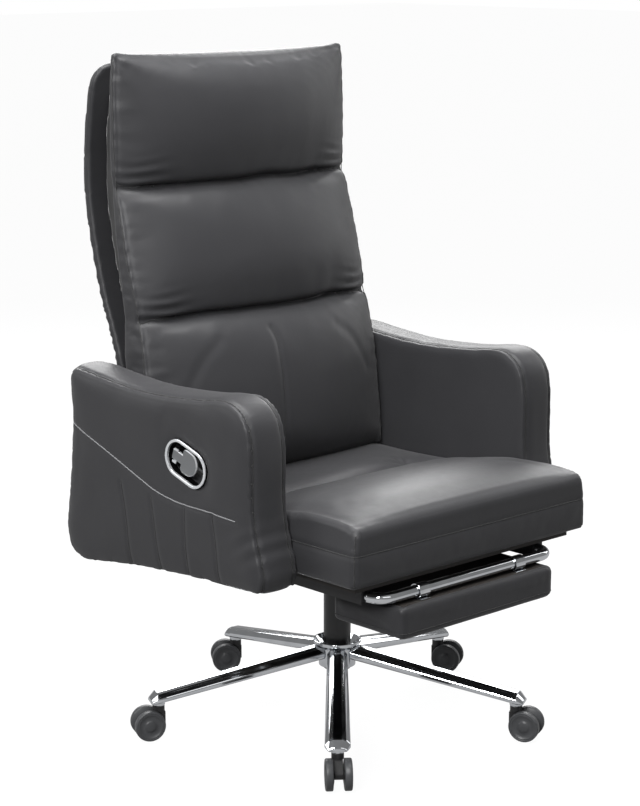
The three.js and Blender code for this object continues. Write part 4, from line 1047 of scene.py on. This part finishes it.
def seat_cushion(materials):
    """The seat: a full front roll, a sewn crease across it and boxed sides."""
    low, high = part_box("seat_cushion")
    seam_level = low[2] + FRONT_SEAM_SHARE * (high[2] - low[2])
    crease_y = low[1] + SEAT_CREASE_BACK
    obj = cover_from("seat_cushion", "cover_seat", SEAT_CELL)
    swell(obj, seat_sewn(obj, seam_level, crease_y), **SEAT_SWELL)
    refine(obj)
    fit_cover(obj, "seat_cushion", np.full(len(obj.data.vertices), SEAT_EDGE))
    ease_seat_top(obj, low, high)
    press_seat(obj, low, high, crease_y)
    laid = on_cover(surface_of(obj), seat_seam_paths(low, high, seam_level))
    for path in laid:
        press_seam(obj, path, *SEAT_SEAM_PRESS)
    finish_piece(shade_smooth(obj), materials["leather"], "seat")
    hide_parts("seat_cushion")
    piping("seat_seams", obj, laid, materials["thread"], "seat", EDGE_CORD)


# Arms


def from_handle(points):
    """How far each point is from the middle of the recline handle, seen from the side."""
    low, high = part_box("handle_bezel")
    return np.hypot(points[:, 1] - (low[1] + high[1]) / 2, points[:, 2] - (low[2] + high[2]) / 2)


def at_pocket(points, side, band):
    """1 round the recline handle and 0 beyond the band. Only the right arm has a handle."""
    if side == "left":
        return np.zeros(len(points))
    return 1 - smooth_step(*band, from_handle(points))


def arm_rim(node, x, out, shift):
    """The rim of one face of an arm, as points round it, moved out by an even amount and shifted in x."""
    low, high = (Vector(c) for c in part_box(node))
    middle = (low + high) / 2
    rim = [v.co for v in frame["nodes"][node].data.vertices if abs(v.co.x - x) < ARM_RIM_CLOSE]
    far = from_handle(np.array(rim)) > POCKET_CLEAR
    rim = [p for p, is_far in zip(rim, far) if is_far]
    rim.sort(key=lambda p: math.atan2(p.z - middle.z, p.y - middle.y))
    loop = []
    for before, p, after in zip([rim[-1], *rim], rim, [*rim[1:], rim[0]]):
        along = (after - before).normalized()
        loop.append(p + Vector((shift, out * along.z, -out * along.y)))
    return [*loop, loop[0]]


def arm_seam_paths(node, outer_x, inner_x):
    """Edge seams round both faces of an arm, and the sewn pattern of its outer face."""
    low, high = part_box(node)
    inwards = ARM_SEAM_IN if outer_x < inner_x else -ARM_SEAM_IN
    edges = [
        smooth_path(arm_rim(node, outer_x, ARM_SEAM_OUT, inwards)),
        smooth_path(arm_rim(node, inner_x, ARM_SEAM_OUT / 2, -inwards)),
    ]

    def on_side(shares):
        y, z = shares
        return (outer_x, low[1] + y * (high[1] - low[1]), low[2] + z * (high[2] - low[2]))

    lines = [ARM_PIPING_SHARES, *ARM_VERTICAL_SHARES]
    return edges, [smooth_path([on_side(p) for p in line]) for line in lines]


def corner_folds(points, low):
    """The few folds that gather low on the front edge of an arm."""
    dy = points[:, 1] - low[1] - ARM_FOLD_PLACE[0]
    dz = points[:, 2] - low[2] - ARM_FOLD_PLACE[1]
    reach = np.hypot(dy / ARM_FOLD_STRETCH, dz)
    lean = dz + ARM_FOLD_LEAN * dy
    return ARM_FOLD_DEPTH * np.cos(2 * math.pi * lean / ARM_FOLD_SPACING) * bell(reach, ARM_FOLD_REACH)


def round_arm(obj, node, side):
    """Lays the cover on the frame's arm, then evens it away from its rims and at its upper rear corner."""
    pocket = at_pocket(points_of(obj), side, POCKET_HOLD)
    fit_cover(obj, node, ARM_EDGE + (POCKET_EDGE - ARM_EDGE) * pocket)
    tilt, width = ARM_EASE_TILT
    ease(obj, 1 - bell(np.abs(normals_of(obj)[:, 0]) - tilt, width), ARM_EASE_ROUNDS)
    points = points_of(obj)
    corner = points[np.argmax(points[:, 1] + points[:, 2])]
    away = np.hypot(points[:, 1] - corner[1], points[:, 2] - corner[2])
    ease(obj, bell(away, ARM_REAR_ROUND), ARM_EASE_ROUNDS)


def arm(side, materials):
    """One padded arm, its edge seams and the sewn pattern on its outer face."""
    node = f"arm_pad_{side}"
    low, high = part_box(node)
    outer_x, inner_x = (low[0], high[0]) if side == "right" else (high[0], low[0])
    obj = cover_from(node, f"cover_arm_{side}", ARM_CELL)
    points = points_of(obj)
    held = at_pocket(points, side, POCKET_HOLD) + bell(points[:, 0] - inner_x, ARM_INNER_HOLD)
    swell(obj, np.clip(held, 0, 1), **ARM_SWELL)
    refine(obj)
    round_arm(obj, node, side)
    points = points_of(obj)
    soft = rough(points, (ARM_SOFT_SIZE,) * 3, ARM_SOFT_SEED)
    dents = ARM_SOFT_DEPTH * soft + corner_folds(points, low)
    along_normals(obj, (1 - at_pocket(points, side, POCKET_STILL)) * dents)
    edges, pattern = arm_seam_paths(node, outer_x, inner_x)
    surface = surface_of(obj)
    laid_edges, laid_pattern = on_cover(surface, edges), on_cover(surface, pattern)
    for path in laid_edges:
        press_seam(obj, path, *ARM_EDGE_PRESS)
    for path in laid_pattern:
        press_seam(obj, path, *ARM_PATTERN_PRESS)
    finish_piece(shade_smooth(obj), materials["leather"], "seat")
    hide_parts(node)
    cords = [
        (f"arm_edge_seams_{side}", laid_edges, "thread", EDGE_CORD),
        (f"arm_piping_{side}", laid_pattern[:1], "piping", ARM_PATTERN_CORD),
        (f"arm_panel_seams_{side}", laid_pattern[1:], "thread", ARM_PANEL_CORD),
    ]
    for name, paths, kind, radius in cords:
        piping(name, obj, paths, materials[kind], "seat", radius)


# Footrest pad, back shell and core


def small_cover(node, name, cell, held, swelling, wrinkle, edge):
    """A simpler cover: swelled, rounded and slightly creased. It keeps its shape where held is 1."""
    obj = cover_from(node, name, cell)
    swell(obj, np.clip(held(points_of(obj), normals_of(obj)), 0, 1), **swelling)
    refine(obj)
    fit_cover(obj, node, np.full(len(obj.data.vertices), edge))
    points, normals = points_of(obj), normals_of(obj)
    free = 1 - np.clip(held(points, normals), 0, 1)
    along_normals(obj, free * wrinkle * rough(points, SMALL_COVER_SIZES, SMALL_COVER_SEED))
    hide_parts(node)
    return shade_smooth(obj)


def footrest_seam_path(low, high):
    """The seam round the sides of the footrest pad."""
    left, right = low[0] + FOOTREST_SEAM_INSET, high[0] - FOOTREST_SEAM_INSET
    front, rear = low[1] + FOOTREST_SEAM_INSET, high[1] - FOOTREST_SEAM_INSET
    level, turn = low[2] + FOOTREST_SEAM_SHARE * (high[2] - low[2]), FOOTREST_SEAM_CORNER
    loop = [
        (left + turn, front), ((left + right) / 2, front), (right - turn, front), (right, front + turn),
        (right, rear - turn), (right - turn, rear), (left + turn, rear), (left, rear - turn),
        (left, front + turn), (left + turn, front),
    ]
    return smooth_path([(x, y, level) for x, y in loop])


def footrest_pad(materials):
    """The small padded footrest, with a seam round its sides."""
    low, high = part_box("footrest_pad")

    def held(points, normals):
        start, full = (high[2] - depth for depth in FOOTREST_HOLD)
        return smooth_step(start, full, points[:, 2])

    obj = small_cover(
        "footrest_pad", "cover_footrest", FOOTREST_CELL, held, FOOTREST_SWELL, FOOTREST_WRINKLE, FOOTREST_EDGE
    )
    finish_piece(obj, materials["leather"], "footrest_flip")
    seam = [footrest_seam_path(low, high)]
    piping("footrest_seam", obj, seam, materials["thread"], "footrest_flip", FOOTREST_CORD)


def shell_edge_path(x):
    """The seam along the rear corner of the shell's side at x."""
    vertices = frame["nodes"]["back_shell"].data.vertices
    edge = [(v.co.z, v.co.y) for v in vertices if abs(v.co.x - x) < SHELL_RIM_CLOSE]
    levels = sorted({round(z, 4) for z, _ in edge})
    rears = [max(y for z, y in edge if round(z, 4) == level) for level in levels]
    return smooth_path([(x, y, z) for y, z in zip(rears, levels)])


def back_shell(materials):
    """The upholstered shell behind the back cushion, with a seam along its edge band."""
    low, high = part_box("back_shell")

    def held(points, normals):
        return smooth_step(*SHELL_FRONT, -normals[:, 1])

    obj = small_cover("back_shell", "cover_shell", SHELL_CELL, held, SHELL_SWELL, SHELL_WRINKLE, SHELL_EDGE)
    finish_piece(obj, materials["shell leather"], "back")
    edges = [shell_edge_path(x) for x in (low[0], high[0])]
    piping("shell_edge_seams", obj, edges, materials["thread"], "back", SHELL_CORD)


def back_core(materials):
    """The lined core seen in the gap between the cushion and the shell."""

    def held(points, normals):
        return smooth_step(*CORE_FLAT, np.abs(normals[:, 1]))

    obj = small_cover("back_core", "cover_core", CORE_CELL, held, CORE_SWELL, CORE_WRINKLE, CORE_EDGE)
    finish_piece(obj, materials["lining"], "back")


# Caster wheels


def wheel_profile(radius, width):
    """Radius and depth of a wheel's section, from the middle of its outer face round to its inner face."""
    cap = HUB_CAP_SHARE * radius
    return [
        (0.0, width - 1.0 * MM), (cap - 2 * MM, width - 1.2 * MM), (cap, width - 2.2 * MM),
        (cap + 1 * MM, width - 3.4 * MM), (radius - 8 * MM, width - 2.6 * MM),
        (radius - 6.4 * MM, width - 0.9 * MM), (radius - 5 * MM, width - 0.6 * MM),
        (radius - 4.6 * MM, width - 1.2 * MM), (radius - 4 * MM, width - 0.5 * MM),
        (radius - 1.6 * MM, width - 0.2 * MM), (radius - 0.4 * MM, width - 1.2 * MM),
        (radius, width - 2.6 * MM), (radius, 1.6 * MM), (radius - 1.2 * MM, 0.3 * MM), (0.0, 0.3 * MM),
    ]


def turned_mesh(name, profile, tread_from):
    """A body turned about its own Z axis; faces at or outside tread_from take the second material."""
    points, faces, kinds = [], [], []
    for i in range(WHEEL_STEPS):
        a = 2 * math.pi * i / WHEEL_STEPS
        points += [(r * math.cos(a), r * math.sin(a), z) for r, z in profile]
    count = len(profile)
    for i in range(WHEEL_STEPS):
        for k in range(count - 1):
            a, b = i * count + k, ((i + 1) % WHEEL_STEPS) * count + k
            faces.append([a, a + 1, b + 1, b])
            kinds.append(1 if min(profile[k][0], profile[k + 1][0]) >= tread_from else 0)
    mesh = bpy.data.meshes.new(name)
    mesh.from_pydata(points, [], faces)
    mesh.polygons.foreach_set("material_index", kinds)
    mesh.validate()
    return mesh


def weld(obj):
    """Joins points that lie on each other."""
    joined = obj.modifiers.new("weld", "WELD")
    joined.merge_threshold = WHEEL_WELD
    return apply_modifiers(obj)


def caster_wheel(joint, materials):
    """One wheel with a hub cap, a ring near its rim and a paler tread."""
    node = "caster_" + joint["name"].replace("_roll", "")
    low, high = (Vector(c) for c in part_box(node))
    hub, axis = Vector(joint["pos_m"]), Vector(joint["axis"]).normalized()
    centre = (low + high) / 2
    side = 1 if (centre - hub).dot(axis) > 0 else -1
    radius = (high.z - low.z) / 2
    outer = joint_reach(node, hub, axis)
    inner = abs((centre - hub).dot(axis)) * 2 - outer
    profile = wheel_profile(radius, outer - inner)
    obj = add_object(f"wheel_{node[-2:]}", turned_mesh(node, profile, radius - TREAD_DEPTH))
    facing = (axis * side).to_track_quat("Z", "Y").to_matrix().to_4x4()
    obj.data.transform(Matrix.Translation(hub + axis * side * inner) @ facing)
    weld(obj)
    obj.data.shade_smooth()
    obj.data.materials.clear()
    obj.data.materials.append(materials["wheel disc"])
    obj.data.materials.append(materials["tread"])
    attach(obj, joint["child"])
    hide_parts(node)


def joint_reach(node, hub, axis):
    """How far a node reaches along an axis from a hub."""
    return max(abs((v.co - hub).dot(axis)) for v in frame["nodes"][node].data.vertices)


# Footrest tube


def footrest_tube(materials):
    """The chrome tube of the footrest, with round bends and closed ends."""
    low, high = (Vector(c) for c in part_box("footrest_frame"))
    radius = (high.z - low.z) / 2
    middle = (low + high) / 2
    half, bar_y = (high.x - low.x) / 2 - radius, low.y + radius
    left_turn = [math.pi * (1 + share / 2) for share in np.linspace(0, 1, TUBE_BEND_KNOTS)]
    centre_y = bar_y + TUBE_BEND
    left_side = np.linspace(high.y, centre_y, TUBE_SIDE_KNOTS)[:-1]
    right_side = np.linspace(centre_y, high.y, TUBE_SIDE_KNOTS)[1:]
    path = [Vector((middle.x - half, y, middle.z)) for y in left_side]
    for side, turns in ((-1, left_turn), (1, [a + math.pi / 2 for a in left_turn])):
        centre_x = middle.x + side * (half - TUBE_BEND)
        for a in turns:
            x, y = centre_x + TUBE_BEND * math.cos(a), centre_y + TUBE_BEND * math.sin(a)
            path.append(Vector((x, y, middle.z)))
    path += [Vector((middle.x + half, y, middle.z)) for y in right_side]
    rings = tube_rings([(p, UP) for p in path], radius, TUBE_SIDES)
    obj = add_object("footrest_tube", mesh_of_tubes("footrest_tube", [rings], TUBE_SIDES))
    finish_piece(obj, materials["tube chrome"], "footrest_slide")
    shade_smooth(obj)
    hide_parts("footrest_frame")


# Frame parts


def round_edges(node, width, angle=EDGE_ANGLE):
    """Small real edge radii on a part of the frame, which keeps its shape."""
    obj = frame["nodes"][node]
    joined = obj.modifiers.new("joined", "WELD")
    joined.merge_threshold = EDGE_WELD
    edges = obj.modifiers.new("edges", "BEVEL")
    edges.width = width
    edges.segments = EDGE_SEGMENTS
    edges.limit_method = "ANGLE"
    edges.angle_limit = math.radians(angle)
    edges.use_clamp_overlap = False


def paint(nodes, material):
    """Gives parts of the frame a material."""
    for node in nodes:
        obj = frame["nodes"][node]
        if not obj.material_slots:
            obj.data.materials.append(material)
        for place in obj.material_slots:
            place.material = material


def frame_looks(materials):
    """Materials and edge radii of every part that keeps its frame shape."""
    names = list(frame["nodes"])
    legs = [n for n in names if n.startswith("base_leg")]
    housings = [n for n in names if n.startswith("caster_housing")]
    paint([*legs, "base_hub"], materials["base chrome"])
    paint(["footrest_frame", "gas_piston", "strut_rod"], materials["tube chrome"])
    paint(housings, materials["nylon"])
    paint([n for n in names if n.startswith(("caster_stem", "caster_axle"))], materials["steel"])
    paint(["gas_column"], materials["column paint"])
    paint(["seat_board", "footrest_board"], materials["plywood"])
    paint(["height_lever", "footrest_guide_right", "footrest_guide_left"], materials["nylon"])
    clips = ["footrest_clip_right", "footrest_clip_left"]
    paint(clips, materials["tube chrome"])
    brackets = [n for n in names if n.startswith(("arm_bracket", "hinge_"))]
    paint([*brackets, "mechanism_plate", "strut_barrel", "recline_shaft"], materials["steel"])
    paint(["handle_bezel"], materials["bezel"])
    paint(["recline_handle"], materials["handle"])
    for node in legs:
        round_edges(node, LEG_RADIUS, LEG_EDGE_ANGLE)
    for node in ("base_hub", "handle_bezel"):
        round_edges(node, HUB_RADIUS)
    for node in [*brackets, *clips, "mechanism_plate", "height_lever", "strut_rod"]:
        round_edges(node, BRACKET_RADIUS)
    round_edges("recline_handle", HANDLE_RADIUS)
    for node in housings:
        round_edges(node, HOUSING_RADIUS)


def all_materials():
    """Every material of the chair, by its plain name."""
    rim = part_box("handle_bezel")[0][0] + BEZEL_RIM_DEPTH
    return {
        "leather": leather("black leather", "#303032", "#29292b", 0.44),
        "shell leather": leather("shell leather", "#2b2b2d", "#242426", 0.48),
        "thread": sewing_thread("black thread", "#131314", "#0d0d0e"),
        "piping": sewing_thread("grey piping", "#87878a", "#5a5a5c"),
        "base chrome": chrome_plate("base chrome", "#dfe1e4", "#c9ccd0", 0.07),
        "tube chrome": chrome_plate("tube chrome", "#e4e6e8", "#c9ccd0", 0.06),
        "nylon": moulded_nylon("black nylon", "#262627", "#1c1c1d", 0.42),
        "wheel disc": moulded_nylon("wheel disc", "#4b4c4e", "#3c3d3f", 0.4),
        "tread": moulded_nylon("wheel tread", "#7e7f82", "#6b6c6f", 0.55),
        "steel": powder_coat("black steel", "#242425", "#19191a", 0.42),
        "column paint": powder_coat("column paint", "#2c2c2d", "#222223", 0.38),
        "plywood": stained_plywood("stained plywood"),
        "lining": lining_cloth("lining"),
        "handle": handle_metal("handle metal"),
        "bezel": bezel_metal("bezel metal", rim),
    }


# Studio


def pale_floor():
    """A wide pale floor under the chair."""
    mesh = bpy.data.meshes.new("floor")
    corners = [(x * FLOOR_REACH, y * FLOOR_REACH, 0) for x, y in ((-1, -1), (1, -1), (1, 1), (-1, 1))]
    mesh.from_pydata(corners, [], [(0, 1, 2, 3)])
    obj = add_object("floor", mesh)
    material, tree, skin, place = new_material("studio floor", Roughness=0.9, Specular_IOR_Level=0.1)
    shade = colours_between(tree, noise_at(tree, place, FLOOR_PATCHES), *FLOOR_SHADES)
    rays = tree.nodes.new("ShaderNodeLightPath").outputs
    seen = between(tree, rays["Is Camera Ray"], 0.0, FLOOR_SEEN_GLOW)
    mirrored = between(tree, rays["Is Glossy Ray"], 0.0, FLOOR_MIRRORED_GLOW)
    dress(tree, skin, Base_Color=shade, Emission_Strength=greater(tree, seen, mirrored))
    skin.inputs["Emission Color"].default_value = colour("#ffffff")
    obj.data.materials.append(material)


def studio_world():
    """White to the camera. For light, bright above and darker near the horizon; reflections see an even grey.
    """
    world = bpy.data.worlds.new("studio")
    bpy.context.scene.world = world
    world.use_nodes = True
    tree = world.node_tree
    tree.nodes.clear()
    place = tree.nodes.new("ShaderNodeTexCoord").outputs["Generated"]
    height = add_node(tree, "ShaderNodeSeparateXYZ", Vector=place).outputs["Z"]
    ramp = add_node(tree, "ShaderNodeMapRange", {"interpolation_type": "SMOOTHSTEP"}, Value=height)
    ramp.inputs["From Min"].default_value, ramp.inputs["From Max"].default_value = DOME_HEIGHTS
    ramp.inputs["To Min"].default_value, ramp.inputs["To Max"].default_value = DOME_LIGHT
    rays = tree.nodes.new("ShaderNodeLightPath").outputs
    mirrored = between(tree, rays["Is Glossy Ray"], 0.0, DOME_MIRRORED_LIGHT)
    strength = greater(tree, ramp.outputs["Result"], mirrored)
    surround = add_node(tree, "ShaderNodeBackground", Strength=strength)
    seen = add_node(tree, "ShaderNodeBackground", Color=(1, 1, 1, 1), Strength=1.0)
    mixed = tree.nodes.new("ShaderNodeMixShader")
    tree.links.new(rays["Is Camera Ray"], mixed.inputs[0])
    tree.links.new(surround.outputs[0], mixed.inputs[1])
    tree.links.new(seen.outputs[0], mixed.inputs[2])
    out = tree.nodes.new("ShaderNodeOutputWorld")
    tree.links.new(mixed.outputs[0], out.inputs["Surface"])


def softbox(name, place, aim, size, power):
    """A rectangular lamp that points at its aim."""
    light = bpy.data.lights.new(name, "AREA")
    light.shape = "RECTANGLE"
    light.size, light.size_y = size
    light.energy = power
    obj = add_object(name, light)
    obj.location = place
    obj.rotation_mode = "QUATERNION"
    obj.rotation_quaternion = (Vector(aim) - Vector(place)).to_track_quat("-Z", "Y")


def lights():
    """A large soft light above, one behind for the sheen, two on the left, faint ones right and in front."""
    for name, (place, aim, size, power) in LAMPS.items():
        softbox(name, place, aim, size, power)


def photo_camera():
    """The photograph's own camera, placed from the column's axis."""
    low, high = (Vector(c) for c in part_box("gas_column"))
    axis = Vector(((low.x + high.x) / 2, (low.y + high.y) / 2, 0))
    data = bpy.data.cameras.new("camera")
    data.lens = LENS_MM
    data.sensor_width = SENSOR_MM
    data.clip_end = CAMERA_REACH
    obj = add_object("camera", data)
    obj.location = axis + CAMERA_PLACE
    out, rise = math.cos(CAMERA_DROP), math.sin(CAMERA_DROP)
    back = Vector((math.sin(CAMERA_AZIMUTH) * out, -math.cos(CAMERA_AZIMUTH) * out, rise))
    obj.rotation_mode = "QUATERNION"
    obj.rotation_quaternion = (-back).to_track_quat("-Z", "Y")
    bpy.context.scene.camera = obj


looks = all_materials()
frame_looks(looks)
back_cushion(looks)
seat_cushion(looks)
for name in ("right", "left"):
    arm(name, looks)
footrest_pad(looks)
footrest_tube(looks)
back_shell(looks)
back_core(looks)
for wheel_joint in [j for j in frame["joints"] if j["name"].endswith("_roll")]:
    caster_wheel(wheel_joint, looks)
pale_floor()
studio_world()
lights()
photo_camera()
bpy.context.scene.view_settings.view_transform = "Standard"
